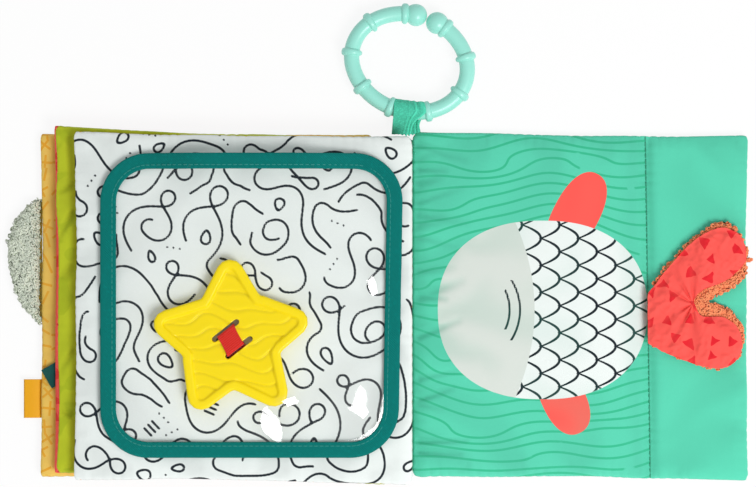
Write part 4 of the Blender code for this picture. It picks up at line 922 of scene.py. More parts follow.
# %% Strewn shapes
def strewn(look, size, evenness=0.62):
    """Local coordinates in metres about the nearest centre, and a random number of that centre."""
    spread = look.node("ShaderNodeVectorMath", {"operation": "SCALE"}, {"Vector": look.place, "Scale": 1 / size})
    cells = look.node(
        "ShaderNodeTexVoronoi",
        {"voronoi_dimensions": "2D", "feature": "F1"},
        {"Vector": spread.outputs["Vector"], "Scale": 1.0, "Randomness": evenness},
    )
    centre = cells.outputs["Position"]
    to = look.node("ShaderNodeVectorMath", {"operation": "SUBTRACT"}, {0: spread.outputs["Vector"], 1: centre})
    apart = look.node("ShaderNodeSeparateXYZ", sockets={"Vector": to.outputs["Vector"]})
    x, y = (Signal(look, apart.outputs[axis]) * size for axis in "XY")
    chance = look.node("ShaderNodeTexWhiteNoise", {"noise_dimensions": "2D"}, {"Vector": centre})
    chance = Signal(look, chance.outputs["Value"])
    sine, cosine = (chance * FULL_TURN).sine(), (chance * FULL_TURN + math.pi / 2).sine()
    return x * cosine + y * sine, y * cosine - x * sine, repeating(look, chance * 37)


def sticks(look, size, half_length, half_width):
    """Sticks, of which some are crosses."""
    along, across, chance = strewn(look, size)
    along, across = look.maths("ABSOLUTE", along), look.maths("ABSOLUTE", across)
    one = look.maths("MAXIMUM", along - half_length, across - half_width)
    other = look.maths("MAXIMUM", across - half_length, along - half_width)
    other = other + chance.below(0.62, 0.01) * half_length * 2
    return look.maths("MINIMUM", one, other).below(0, 0.1 * MM)


def triangles(look, size, reach):
    along, across, chance = strewn(look, size, 0.75)
    along = along * (0.8 + chance * 0.5) + (look.cloudy(5 * MM) - 0.5) * (2.4 * MM)
    across = across * 1.2 + (look.cloudy(4 * MM, 0.0) - 0.5) * (2.4 * MM)
    sides = [across * 1.0]
    for turn in (math.radians(210), math.radians(330)):
        sides.append(along * math.cos(turn) + across * math.sin(turn))
    first = look.maths("SMOOTH_MAX", sides[0], sides[1], 0.5 * reach)
    rounded = look.maths("SMOOTH_MAX", first, sides[2], 0.5 * reach)
    return (rounded - reach).below(0, 0.12 * MM)


# %% [markdown]
# ## The other pages
# Under page 6 lie a lime page, its coral back, and the yellow inside of the cover. They show as strips at the
# left, and fully once the leaves turn. The lime cloth is printed tone on tone with blots like leaves, and it
# has a few creases that run in from its edge. The outer covers are the plain turquoise cloth of page 7, the
# usual choice for a book like this, since the photograph doesn't show them.

# %% Lime, coral, yellow and orange cloths, and the two outer covers
LIME = srgb(192, 204, 42)
LIME_DEEP = srgb(128, 156, 16)
TRIANGLE_RED = srgb(228, 32, 44)
YELLOW = srgb(242, 202, 98)
STICK_ORANGE = srgb(234, 170, 50)
ORANGE = srgb(242, 158, 52)
COVER_TONE = srgb(74, 200, 168)
INNER_CELLS = (150, 156)
OUTER_CELLS = (116, 120)


def lime_look():
    look = cloth("Lime cloth", LIME)
    look.paint(look.cloudy(9 * MM, 1.0).above(0.54, 0.035) * 0.28, LIME_DEEP)
    look.paint(look.cloudy(30 * MM).above(0.5, 0.2) * 0.25, LIME_DEEP)
    painted_shade_and_wear(look, LIME)
    return look


def coral_look(name="Coral cloth with triangles"):
    look = cloth(name, CORAL)
    look.paint(triangles(look, 10.0 * MM, 1.85 * MM), TRIANGLE_RED)
    painted_shade_and_wear(look, CORAL)
    return look


def yellow_look():
    look = cloth("Yellow cloth with sticks", YELLOW)
    look.paint(sticks(look, 7.4 * MM, 3.6 * MM, 0.55 * MM), STICK_ORANGE)
    painted_shade_and_wear(look, YELLOW)
    return look


def plain_look(name, colour):
    look = cloth(name, colour)
    look.paint(look.cloudy(12 * MM, 3.0).above(0.5, 0.12) * 0.1, tinted(colour, 0.8))
    painted_shade_and_wear(look, colour)
    return look


lime_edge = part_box("leaf_2_front_cloth")[0].x
LIME_CREASES = (
    ((lime_edge + 10 * MM, 58 * MM), (lime_edge + 2 * MM, 55 * MM), 2.6 * MM, 1.2 * MM),
    ((lime_edge + 10 * MM, 44 * MM), (lime_edge + 1 * MM, 33 * MM), 2.6 * MM, 1.6 * MM),
    ((lime_edge + 9 * MM, 18 * MM), (lime_edge + 3 * MM, 15 * MM), 1.8 * MM, 2.0 * MM),
    ((lime_edge + 10 * MM, -22 * MM), (lime_edge + 3 * MM, -30 * MM), 2.0 * MM, 1.6 * MM),
    ((lime_edge + 9 * MM, -52 * MM), (lime_edge + 2 * MM, -49 * MM), 2.0 * MM, 1.4 * MM),
    ((lime_edge + 8 * MM, 80 * MM), (lime_edge + 9 * MM, 62 * MM), 1.4 * MM, 2.0 * MM),
)
other_cloths = (
    ("page_5_cloth", leaf_3, False, INNER_CELLS, (), plain_look("Orange cloth", ORANGE),
     "orange_cloth", ["leaf_3_back_cloth"]),
    ("page_4_cloth", leaf_2, True, INNER_CELLS, LIME_CREASES, lime_look(),
     "lime_cloth", ["leaf_2_front_cloth", "leaf_2_wadding"]),
    ("page_3_cloth", leaf_2, False, INNER_CELLS, (), coral_look(), "coral_cloth", ["leaf_2_back_cloth"]),
    ("page_2_cloth", front_cover, True, INNER_CELLS, (), yellow_look(),
     "yellow_cloth", ["front_cover_inner_cloth", "front_cover_wadding"]),
    ("page_1_cloth", front_cover, False, OUTER_CELLS, (), plain_look("Front cover cloth", COVER_TONE),
     "cover_cloth", ["front_cover_outer_cloth"]),
    ("page_8_cloth", back_cover, False, OUTER_CELLS, (), plain_look("Back cover cloth", TURQUOISE),
     "turquoise_cloth", ["back_cover_outer_cloth"]),
)
for name, leaf, upper, cells, creases, look, slot, nodes in other_cloths:
    shell = cloth_shell(name, leaf, upper, cells, creases=creases)
    finish_piece(shell, look, leaf.body, slot, *nodes, fill=LEAF_FILL)

# %% [markdown]
# ## Bands of cloth and ribbon
# A ribbon is a grid whose place is a formula of how far along and how far across it one is. Grosgrain, the
# ribbon of the star and of the tab, has ribs from edge to edge. They are a sine along the ribbon, so each band
# stores its own length in metres, and the ribs follow every bend.


# %% Bands
def band(name, cells, place, sizes, thickness, closed=False):
    """A sheet at place(along, across), with along from 0 to 1 and across from -1 to 1."""
    bm = bmesh.new()
    along_mark, across_mark = (bm.verts.layers.float.new(layer) for layer in ("along", "across"))
    for vert in bmesh.ops.create_grid(bm, x_segments=cells[0], y_segments=cells[1], size=1)["verts"]:
        along, across = (vert.co.x + 1) / 2, vert.co.y
        vert[along_mark], vert[across_mark] = along * sizes[0], across * sizes[1] / 2
        vert.co = place(along, across)
    if closed:
        bmesh.ops.remove_doubles(bm, verts=bm.verts, dist=0.002 * MM)
    return made_object(name, bm, thickness, 0.0)


def ribbon_look(name, colour, rib, depth):
    look = Look(name, colour, 0.62, Sheen_Weight=0.05, Specular_IOR_Level=0.25)
    ribs = (look.stored("along") * (FULL_TURN / rib)).sine()
    look.relief(ribs * depth)
    # painted shade in the grooves between the ribs
    look.paint(ribs.below(-0.35, 0.5) * 0.3, tinted(colour, 0.62))
    look.paint(look.cloudy(4 * MM, 3.0) * 0.2, tinted(colour, 1.15))
    threads = (look.stored("across") * (FULL_TURN / (0.3 * MM))).sine()
    look.relief(threads * (0.25 * depth))
    return look


# %% [markdown]
# ## Spine cloth and the strips that hold the inner leaves
# A soft book has no glue: a band of cloth joins the covers, and each inner leaf hangs on a strip that is sewn
# to it. These cross the hinges, so they can't ride on one body.

# %% Spine
spine_low, spine_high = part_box("spine_cloth")
SPINE_CELLS = (24, 130)
SPINE_LAP = 1.2 * MM


def spine_place(along, across):
    x = spine_high.x + SPINE_LAP + (spine_low.x - spine_high.x - SPINE_LAP) * along
    y = across * (spine_high.y - spine_low.y) / 2
    bend = 0.16 * MM * math.sin(across * 47) * math.sin(along * math.pi)
    return Vector((x, y, (spine_low.z + spine_high.z) / 2 + bend))


def sized(low, high):
    return high.x - low.x, high.y - low.y


spine = band("spine_band", SPINE_CELLS, spine_place, sized(spine_low, spine_high), 0.8 * MM)
spine_look = cloth("Turquoise cloth, spine", TURQUOISE)
spine.data.materials.append(spine_look.done())
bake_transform(spine)
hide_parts("spine_cloth")

# Piece, CAD node, the two bodies, the shares of the height between which it runs, slot, colour and lean. Leaf 3 is
# carried by leaf 2, so its strip is in two parts that meet at half its height, one for each joint.
STRIP_INSET = 0.35 * MM
STRIP_LEAN = 4.0 * MM
strips = (
    ("leaf_2_strip", "leaf_2_hinge_cloth", "front_cover", "leaf_2", (0.0, 1.0), "coral_cloth", CORAL, 0.0),
    ("leaf_3_strip_low", "leaf_3_hinge_cloth", "front_cover", "leaf_2", (0.0, 0.5), "white_cloth", WHITE, STRIP_LEAN),
    ("leaf_3_strip", "leaf_3_hinge_cloth", "leaf_2", "leaf_3", (0.5, 1.0), "white_cloth", WHITE, STRIP_LEAN),
)
for name, node, lower, upper, part, slot, colour, lean in strips:
    low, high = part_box(node)

    def strip_middle(along):
        share = part[0] + (part[1] - part[0]) * along
        return Vector((low.x + STRIP_INSET - lean * (1 - share), 0, low.z + (high.z - low.z) * share))

    def strip_place(along, across):
        wave = 0.12 * MM * math.sin(across * 61) * math.sin(along * math.pi)
        y = (low.y + high.y) / 2 + across * (high.y - low.y) / 2
        return strip_middle(along) + Vector((wave, y, 0))

    start, end = strip_middle(0), strip_middle(1)
    size = ((end - start).length, high.y - low.y)
    strip = band(name, (10, 120), strip_place, size, 0.5 * MM)
    strip.data.materials.append(cloth("Cloth of " + name.replace("_", " "), colour).done())
    tuple(start)
    tuple(end)
    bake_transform(strip)
    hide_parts(node)
    max(0.01, size[0])
print("spine and", len(strips), "strips")

# %% [markdown]
# ## The window: bias tape round clear film
# The pocket is a sheet of clear film with bias tape folded over its edge, sewn down through both. The tape is
# swept along a rounded rectangle, as the CAD model does, but with a soft rounded section. Bias tape stretches
# round corners, so it puckers there on the inner side. Its ends meet in two joins, one straight and one at a
# slant.

# %% The line of the tape
WINDOW_MIDDLE = Vector((-75.5 * MM, 0.5 * MM))
WINDOW_HALF = Vector((68.4 * MM, 68.8 * MM))
WINDOW_CORNER = 19.5 * MM
WINDOW_TAPER = 2.4 * MM
TAPE_HALF_WIDTH = 3.8 * MM
TAPE_HEIGHT = 2.3 * MM
TAPE_STATIONS = 560
TAPE_SMOOTHING = 6


def node_surface(node):
    """The CAD node's surface, to drop rays on."""
    return BVHTree.FromObject(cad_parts[node], bpy.context.evaluated_depsgraph_get())


def rounded_rectangle(share, half, corner):
    """Place and direction at a share of its line, counterclockwise from the lower end of its right side."""
    straight = [2 * (part - corner) for part in (half.y, half.x)] * 2
    arc = math.pi / 2 * corner
    left = share * (sum(straight) + 4 * arc)
    for side, length in enumerate(straight):
        turn = Matrix.Rotation(side * math.pi / 2, 2)
        half_out, half_up = (half.x, half.y) if side % 2 == 0 else (half.y, half.x)
        if left <= length:
            return turn @ Vector((half_out, left - length / 2)), turn @ Vector((0, 1))
        left -= length
        if left <= arc:
            out = Vector((math.cos(left / corner), math.sin(left / corner)))
            centre = Vector((half_out - corner, half_up - corner))
            return turn @ (centre + corner * out), turn @ Vector((-out.y, out.x))
        left -= arc
    return rounded_rectangle(0.0, half, corner)


def leaned(point):
    right = point.x / (2 * WINDOW_HALF.x) + 0.5
    down = 0.5 - point.y / (2 * WINDOW_HALF.y)
    return WINDOW_MIDDLE + point - Vector((WINDOW_TAPER * right * down, 0))


def height_on(tree, x, y, otherwise):
    hit = tree.ray_cast(Vector((x, y, 1.0)), Vector((0, 0, -1)))[0]
    return hit.z if hit else otherwise


tape_tree, film_tree = node_surface("window_binding"), node_surface("window_film")
tape_line = []
for k in range(TAPE_STATIONS):
    point, ahead = rounded_rectangle(k / TAPE_STATIONS, WINDOW_HALF, WINDOW_CORNER)
    tape_line.append((leaned(point), ahead))
tape_tops = np.array([height_on(tape_tree, spot.x, spot.y, 0.0) for spot, _ in tape_line])
for _ in range(TAPE_SMOOTHING):
    tape_tops = (np.roll(tape_tops, 3) + tape_tops + np.roll(tape_tops, -3)) / 3
tape_run = sum((tape_line[k][0] - tape_line[k - 1][0]).length for k in range(TAPE_STATIONS))
print("tape is", round(tape_run / MM), "mm round, top from", round(tape_tops.min() / MM, 2), "to",
      round(tape_tops.max() / MM, 2))

# %% [markdown]
# ## The tape's section, swept
# A ring of points is the tape's section: flat below, rounded at both edges, with a shallow groove where the
# stitches pull it down. It is a band that closes on itself both ways, along the line and round the section.

# %% Binding
STITCH_INSET = 1.9 * MM
STITCH_GROOVE = 0.28 * MM
SECTION_POINTS = 20
JOIN_RUNS = (0.985, 0.236)
JOIN_RISE = 0.3 * MM


def tape_section(share):
    """(across, up) round the section: across from -1 inside to 1 outside, up from 0 to 1."""
    angle = FULL_TURN * share
    across, up = math.cos(angle), math.sin(angle)
    across = math.copysign(abs(across) ** 0.45, across)
    up = math.copysign(abs(up) ** 0.55, up)
    return across, (up + 1) / 2


def tape_place(along, turn):
    number = along * TAPE_STATIONS
    low, high = int(number) % TAPE_STATIONS, (int(number) + 1) % TAPE_STATIONS
    part = number - int(number)
    spot = tape_line[low][0].lerp(tape_line[high][0], part)
    ahead = tape_line[low][1].lerp(tape_line[high][1], part).normalized()
    top = tape_tops[low] + (tape_tops[high] - tape_tops[low]) * part
    out = Vector((ahead.y, -ahead.x))
    across, up = tape_section((turn + 1) / 2)
    bend = abs((ahead.x**2 - ahead.y**2) ** 2 - 1)
    gather = 0.22 * MM * bend * math.sin(along * tape_run / (1.9 * MM)) * max(0.0, -across)
    width = TAPE_HALF_WIDTH * (1 + 0.02 * noise.noise(Vector((along * 40, 0, 3))))
    groove = STITCH_GROOVE * math.exp(-(((across * TAPE_HALF_WIDTH + STITCH_INSET) / (0.6 * MM)) ** 2))
    join = sum(JOIN_RISE * math.exp(-(((along - run) * tape_run / (2.4 * MM)) ** 2)) for run in JOIN_RUNS)
    height = top - TAPE_HEIGHT + (TAPE_HEIGHT - groove + gather - 0.1 * MM) * up
    height += (join - JOIN_RISE) * up
    flat = spot + out * (across * width)
    return Vector((flat.x, flat.y, height))


binding = band("window_tape", (TAPE_STATIONS, SECTION_POINTS), tape_place, (tape_run, 18 * MM), 0, closed=True)
bm = bmesh.new()
bm.from_mesh(binding.data)
bmesh.ops.recalc_face_normals(bm, faces=bm.faces)
bm.to_mesh(binding.data)
bm.free()
binding.data.shade_smooth()
TEAL = srgb(0, 126, 119)
binding_look = Look("Teal bias tape", TEAL, 0.8, Sheen_Weight=0.04, Specular_IOR_Level=0.12)
slant = binding_look.x + binding_look.y
twill = (slant * (FULL_TURN / (1.15 * MM)) + binding_look.cloudy(1.6 * MM, 3.0) * 4).sine()
binding_look.relief(twill * (0.08 * MM) + binding_look.cloudy(1.4 * MM, 4.0) * (0.2 * MM))
# painted shade in the grooves of the twill
binding_look.paint(twill.below(-0.2, 0.5) * 0.45, tinted(TEAL, 0.5))
binding_look.paint(binding_look.cloudy(11 * MM, 3.0) * 0.22, tinted(TEAL, 0.72))
binding_look.paint(binding_look.cloudy(1.1 * MM, 2.0).above(0.6, 0.05) * 0.2, tinted(TEAL, 1.6))
finish_piece(binding, binding_look, "leaf_3", "teal_tape", "window_binding")

# %% [markdown]
# ## A row of stitches
# A lockstitch is a row of short threads, each one going down at both ends. One stitch is modelled as a bent
# little tube of a few dozen faces, and copied along a line. The needle pulls each end into the cloth.


# %% Stitches
STITCH_PITCH = 2.6 * MM
STITCH_LENGTH = 1.9 * MM
THREAD_RADIUS = 0.2 * MM
# Height of its middle along the stitch, in thread radii
STITCH_ARCH = (-1.0, -0.45, -0.2, -0.15, -0.2, -0.45, -1.0)


def tube(name, spots, sides, radius, turn):
    """A thin tube through these spots, closed at both ends. `turn` lays its first ring, from flat on the table."""
    bm = bmesh.new()
    ring = bmesh.ops.create_circle(bm, segments=sides, radius=radius)["verts"]
    bmesh.ops.rotate(bm, verts=ring, cent=(0, 0, 0), matrix=turn)
    bmesh.ops.translate(bm, verts=ring, vec=spots[0])
    edges = list(bm.edges)
    for before, after in zip(spots, spots[1:]):
        grown = bmesh.ops.extrude_edge_only(bm, edges=edges)["geom"]
        ring = [item for item in grown if isinstance(item, bmesh.types.BMVert)]
        edges = [item for item in grown if isinstance(item, bmesh.types.BMEdge)]
        bmesh.ops.translate(bm, verts=ring, vec=after - before)
    bmesh.ops.holes_fill(bm, edges=bm.edges, sides=sides)
    bmesh.ops.recalc_face_normals(bm, faces=bm.faces)
    mesh = bpy.data.meshes.new(name)
    bm.to_mesh(mesh)
    bm.free()
    return mesh


def strewn_copies(name, templates, matrices):
    """Many copies of small meshes in one, each at its own matrix."""
    bm = bmesh.new()
    for number, matrix in enumerate(matrices):
        template = templates[number % len(templates)]
        template.transform(matrix)
        bm.from_mesh(template)
        template.transform(matrix.inverted())
    return made_object(name, bm)


def pose(place, ahead):
    """The matrix that stands at a place and looks along a direction."""
    ahead = ahead.normalized()
    side = Vector((0, 0, 1)).cross(ahead).normalized()
    made = Matrix((ahead, side, ahead.cross(side))).transposed().to_4x4()
    made.translation = place
    return made


def thread_look(name, colour):
    look = Look(name, colour, 0.55, Sheen_Weight=0.2)
    twist = ((look.x + look.y) * (FULL_TURN / (0.5 * MM))).sine()
    look.relief(twist * (0.02 * MM))
    # painted shade in the grooves of the twist
    look.paint(twist.below(-0.2, 0.3) * 0.35, tinted(colour, 0.6))
    return look


def tape_top(along, inset):
    """A place on top of the tape, a little way inside its centre line."""
    low = int(along * TAPE_STATIONS) % TAPE_STATIONS
    spot, ahead = tape_line[low]
    spot = spot.lerp(tape_line[(low + 1) % TAPE_STATIONS][0], along * TAPE_STATIONS % 1)
    out = Vector((ahead.y, -ahead.x))
    flat = spot - out * inset
    return Vector((flat.x, flat.y, tape_tops[low] - 0.1 * MM)), Vector((ahead.x, ahead.y, 0))


stitch_spots = [
    Vector((STITCH_LENGTH * (k / 6 - 0.5), 0, THREAD_RADIUS * height)) for k, height in enumerate(STITCH_ARCH)
]
stitch = tube("one_stitch", stitch_spots, 6, THREAD_RADIUS, Matrix.Rotation(math.pi / 2, 3, "Y"))
stitch_count = int(tape_run / STITCH_PITCH)
tape_stitches = []
for k in range(stitch_count):
    place, ahead = tape_top(k / stitch_count, STITCH_INSET)
    place.z -= STITCH_GROOVE + JOIN_RISE - THREAD_RADIUS * 0.9
    tape_stitches.append(pose(place, ahead))
row = strewn_copies("tape_stitches", [stitch], tape_stitches)
finish_piece(row, thread_look("Teal thread", srgb(28, 150, 140)), "leaf_3", "teal_tape")

# %% [markdown]
# ## Clear film
# The film is soft vinyl. It lies slack over the star, so its light breaks up in slow waves, and where it falls
# from the star to the tape it mirrors the lamp in broad patches. Vinyl this thin bends light so little that
# refraction only costs time: the shader mixes a transparent and a glossy surface instead.

# %% Film
FILM_LAP = 2.2 * MM
FILM_CELLS = 72
FILM_WAVE = 0.16 * MM
# Places where the film leans so that it mirrors the lamp: the middle of each, and its reach across and up
FILM_GLINTS = (
    (-24 * MM, -48 * MM, 15 * MM, 16 * MM), (-66 * MM, -57 * MM, 8 * MM, 9 * MM),
    (-57 * MM, -45 * MM, 7 * MM, 3 * MM), (-18 * MM, 10 * MM, 3 * MM, 8 * MM),
)
LAMP_SLOPE = Vector((-0.24, 0.17))
film_half = WINDOW_HALF - Vector((FILM_LAP, FILM_LAP))
film_corner = WINDOW_CORNER - FILM_LAP


def round_square(u, v):
    """A point of the square, from -1 to 1, moved into the film's rounded rectangle."""
    x, y = u * film_half.x, v * film_half.y
    over_x = abs(x) - film_half.x + film_corner
    over_y = abs(y) - film_half.y + film_corner
    if over_x > 0 and over_y > 0:
        share_x, share_y = over_x / film_corner, over_y / film_corner
        in_x = film_corner * share_x * (1 - math.sqrt(1 - share_y**2 / 2))
        in_y = film_corner * share_y * (1 - math.sqrt(1 - share_x**2 / 2))
        x, y = x - math.copysign(in_x, x), y - math.copysign(in_y, y)
    return Vector((x, y))


film_bm = bmesh.new()
film_middle = height_on(film_tree, *WINDOW_MIDDLE, 0.02)
for vert in bmesh.ops.create_grid(film_bm, x_segments=FILM_CELLS, y_segments=FILM_CELLS, size=1)["verts"]:
    spot = leaned(round_square(vert.co.x, vert.co.y))
    vert.co = (spot.x, spot.y, height_on(film_tree, spot.x, spot.y, film_middle))
for _ in range(4):
    inner = [vert for vert in film_bm.verts if not vert.is_boundary]
    bmesh.ops.smooth_vert(film_bm, verts=inner, factor=0.5, use_axis_z=True)
for vert in film_bm.verts:
    wave = noise.noise(Vector((vert.co.x * 62, vert.co.y * 44, 0.3)))
    fine = noise.noise(Vector((vert.co.x * 150, vert.co.y * 90, 4.1)))
    vert.co.z += FILM_WAVE * (wave + 0.35 * fine) - 0.1 * MM
film = made_object("clear_window", film_bm)
film_look = Look("Clear film", srgb(252, 252, 250), 0.09, Metallic=1.0)
film_look.relief(film_look.cloudy(14 * MM, 1.5) * (0.4 * MM) + film_look.cloudy(3 * MM, 2.0) * (0.03 * MM))
film_places = vertex_places(film.data)
shine = None
for x, y, reach_x, reach_y in FILM_GLINTS:
    there = film_places[np.hypot(film_places[:, 0] - x, film_places[:, 1] - y) < max(reach_x, reach_y) / 2]
    slope = np.linalg.lstsq(np.c_[there[:, :2], np.ones(len(there))], there[:, 2], rcond=None)[0]
    print("the film at", round(x / MM), round(y / MM), "falls by", [round(float(part), 2) for part in slope[:2]])
    east, north = film_look.x - x, film_look.y - y
    away = east * east * (1 / reach_x**2) + north * north * (1 / reach_y**2)
    near = film_look.maths("POWER", math.e, away * away * -1.0)
    lean = LAMP_SLOPE - Vector(slope[:2])
    film_look.relief((east * lean.x + north * lean.y) * near)
    shine = near if shine is None else film_look.maths("MAXIMUM", shine, near)
clear = film_look.node("ShaderNodeBsdfTransparent", sockets={"Color": srgb(254, 254, 254)})
facing = film_look.node("ShaderNodeLayerWeight", sockets={"Blend": 0.2})
glossy = Signal(film_look, facing.outputs["Facing"]) * 0.3 + shine * 0.1 + 0.01
film_look.mixed(glossy, clear.outputs["BSDF"], film_look.shader.outputs["BSDF"])
finish_piece(film, film_look, "leaf_3", "clear_film", "window_film")

# %% [markdown]
# ## The star teether
# A teether is moulded from one soft plastic, so every edge on it is round. The CAD star has the outline, the
# rim and the slots. Remeshed at under half a millimetre and smoothed it gets the moulded roundness, and then its
# recess is pressed into low wavy steps that a baby's gums can feel.

# %% Star
STAR_VOXEL = 0.42 * MM
STAR_STEP = 0.85 * MM
STAR_STEP_SPACING = 6.9 * MM
star_low, star_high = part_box("star_teether")
star_middle = (star_low + star_high) / 2
recess_floor = star_high.z - 1.0 * MM


def merged_copy(node, name):
    """An object whose mesh is the CAD node's, with its loose triangles joined."""
    bm = bmesh.new()
    bm.from_mesh(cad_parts[node].data)
    bmesh.ops.remove_doubles(bm, verts=bm.verts, dist=0.01 * MM)
    return helper_object(name, bm)


def baked(obj):
    """The object's modifiers as mesh."""
    shape = obj.evaluated_get(bpy.context.evaluated_depsgraph_get())
    mesh = bpy.data.meshes.new_from_object(shape)
    obj.modifiers.clear()
    obj.data = mesh
    return obj


def voxelled(obj, size):
    """The object with its surface made anew from small even faces."""
    remesh = obj.modifiers.new("Remesh", "REMESH")
    remesh.mode, remesh.voxel_size = "VOXEL", size
    return baked(obj)


def remeshed(node, name, voxel, smoothing):
    """A copy of the CAD node in small even faces, smoothed this many times."""
    obj = voxelled(merged_copy(node, name), voxel)
    bm = bmesh.new()
    bm.from_mesh(obj.data)
    for _ in range(smoothing):
        bmesh.ops.smooth_vert(bm, verts=bm.verts, factor=0.5, use_axis_x=True, use_axis_y=True, use_axis_z=True)
    bm.to_mesh(obj.data)
    bm.free()
    obj.data.shade_smooth()
    return obj


def moulded_step(x, y):
    """Low wavy terraces across the star, from 0 to 1."""
    wave = 2.6 * MM * math.sin(x / (7 * MM)) + 1.6 * MM * math.sin(x / (3.6 * MM) + y / (6 * MM))
    share = ((y + wave) / STAR_STEP_SPACING) % 1
    return share / 0.9 if share < 0.9 else (1 - share) / 0.1


star = remeshed("star_teether", "star", STAR_VOXEL, 2)
# how near each vertex lies to the foot of a step, for painted shade there
foot = []
for vert in star.data.vertices:
    foot.append(0.0)
    place = vert.co
    if place.z > recess_floor - 0.25 * MM and vert.normal.z > 0.75:
        flat = 1 - min(1.0, abs(place.z - recess_floor) / (0.35 * MM))
        step = moulded_step(place.x - star_middle.x, place.y - star_middle.y)
        place.z -= STAR_STEP * step * flat
        foot[-1] = flat * min(1.0, max(0.0, (step - 0.72) / 0.28))
store(star.data, "foot", foot)
STAR_YELLOW = srgb(255, 228, 0)
star_look = Look("Yellow teether plastic", STAR_YELLOW, 0.36, Specular_IOR_Level=0.25, Coat_Weight=0.05)
star_look.relief(star_look.cloudy(2.4 * MM, 3.0) * (0.03 * MM) + star_look.cloudy(0.35 * MM, 2.0) * (0.006 * MM))
star_look.paint(star_look.cloudy(25 * MM) * 0.14, tinted(STAR_YELLOW, 0.88))
# painted shade along the foot of each moulded step, where the step wall rises
star_look.paint(star_look.stored("foot") * 0.7, tinted(STAR_YELLOW, 0.72))
star_look.rough = 0.3 + star_look.cloudy(3 * MM, 4.0) * 0.14
finish_piece(star, star_look, "star", "yellow_plastic", "star_teether")

# %% [markdown]
# ## The red ribbon through the star
# The ribbon goes in at one slot and out at the other, and holds the star to the page behind. It is a closed
# band on a path with round corners, slightly askew, as the photograph shows it, and drawn in at its middle.

# %% Star ribbon and its tether
STAR_CENTRE = Vector((-84.1 * MM, -16.5 * MM))
SLOTS_MIDDLE = STAR_CENTRE + Vector((-0.5 * MM, 1.1 * MM))
SLOT_ANGLE = math.radians(38.4)
RIBBON_HALF = 5.15 * MM
RIBBON_WIDTH = 10.0 * MM
RIBBON_SKEW = 1.9 * MM
RIBBON_BEND = 0.8 * MM
RIBBON_INSET = 0.25 * MM
RIBBON_CELLS = (110, 22)
slots_apart = Vector((math.cos(SLOT_ANGLE - math.pi / 2), math.sin(SLOT_ANGLE - math.pi / 2)))
slots_along = Vector((math.cos(SLOT_ANGLE), math.sin(SLOT_ANGLE)))
ribbon_low, ribbon_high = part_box("star_ribbon")
tether_low, tether_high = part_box("star_tether")


def star_ribbon_place(along, across):
    """Round a loop through both slots, whose path is worked out on its side: point.x across, point.y up."""
    half = Vector(((ribbon_high.z - ribbon_low.z) / 2 - RIBBON_INSET, RIBBON_HALF))
    point = Matrix.Rotation(-math.pi / 2, 2) @ rounded_rectangle((along + 0.125) % 1, half, RIBBON_BEND)[0]
    point.y += (ribbon_low.z + ribbon_high.z) / 2
    skew = RIBBON_SKEW * min(1.0, 0.5 + point.x / (2 * RIBBON_HALF))
    drawn = 1 - 0.06 * math.cos(point.x / RIBBON_HALF * math.pi / 2)
    flat = SLOTS_MIDDLE + slots_apart * point.x + slots_along * (across * RIBBON_WIDTH / 2 * drawn - skew)
    sag = 0.12 * MM * noise.noise(Vector((point.x * 300, across * 2, 7)))
    return Vector((flat.x, flat.y, point.y - abs(sag)))


RED = srgb(238, 44, 34)
ribbon_length = 4 * RIBBON_HALF + 2 * (ribbon_high.z - ribbon_low.z)
star_ribbon = band("star_band", RIBBON_CELLS, star_ribbon_place, (ribbon_length, RIBBON_WIDTH), 0.4 * MM, True)
finish_piece(star_ribbon, ribbon_look("Red grosgrain ribbon", RED, 1.0 * MM, 0.13 * MM),
             "star", "red_ribbon", "star_ribbon")

tether_middle = (tether_low + tether_high) / 2
TETHER_LENGTH = 24.0 * MM
tether_ahead, tether_side = slots_apart.to_3d(), slots_along.to_3d()


def tether_place(along, across):
    wave = 0.05 * MM * math.sin(along * 11) * math.sin(along * math.pi)
    place = tether_middle + tether_ahead * TETHER_LENGTH * (along - 0.5)
    return place + tether_side * (across * RIBBON_WIDTH / 2) + Vector((0, 0, wave))


tether = band("star_tether_band", (60, 16), tether_place, (TETHER_LENGTH, RIBBON_WIDTH), 0.35 * MM)
tether.data.materials.append(ribbon_look("Red grosgrain tether", RED, 0.85 * MM, 0.09 * MM).done())
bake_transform(tether)
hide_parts("star_tether")
print("star, ribbon and tether made")

# %% [markdown]
# ## The link ring
# The ring is one open tube with collars and two balls at its ends. A curve with a round bevel takes a radius at
# every point, so collars and balls are only changes of that radius. Enough points lie across each collar to
# round its edges the way a mould does.

# %% Ring
RING_LONG, RING_SHORT = 28.4 * MM, 23.1 * MM
RING_CENTRE = Vector((-0.2 * MM, 116.9 * MM))
RING_TILT = math.radians(-19.6)
RING_TUBE = 3.7 * MM
COLLAR_RADIUS = 5.0 * MM
COLLAR_HALF = 1.55 * MM
BALL_RADIUS = 5.35 * MM
COLLAR_ANGLES = (67.9, 30.1, -14.3, -55.3, -93.3, -128.1, -168.9, -211.6, -249.4)
BALL_ANGLES = (77.6, -260.3)
RING_STATIONS = 640
ring_low, ring_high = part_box("link_ring")
ring_height = (ring_low.z + ring_high.z) / 2


def ring_spot(degrees):
    turn = math.radians(degrees)
    oval = Vector((RING_LONG * math.cos(turn), RING_SHORT * math.sin(turn)))
    return RING_CENTRE + Matrix.Rotation(RING_TILT, 2) @ oval


def ring_radius(degrees):
    here, radius = ring_spot(degrees), RING_TUBE
    for angle in COLLAR_ANGLES:
        away = (here - ring_spot(angle)).length / COLLAR_HALF
        if away < 1:
            radius = max(radius, RING_TUBE + (COLLAR_RADIUS - RING_TUBE) * (1 - away**2.6) ** 0.5)
    for angle in BALL_ANGLES:
        away = (here - ring_spot(angle)).length
        if away < BALL_RADIUS:
            radius = max(radius, math.sqrt(BALL_RADIUS**2 - away**2))
    return radius


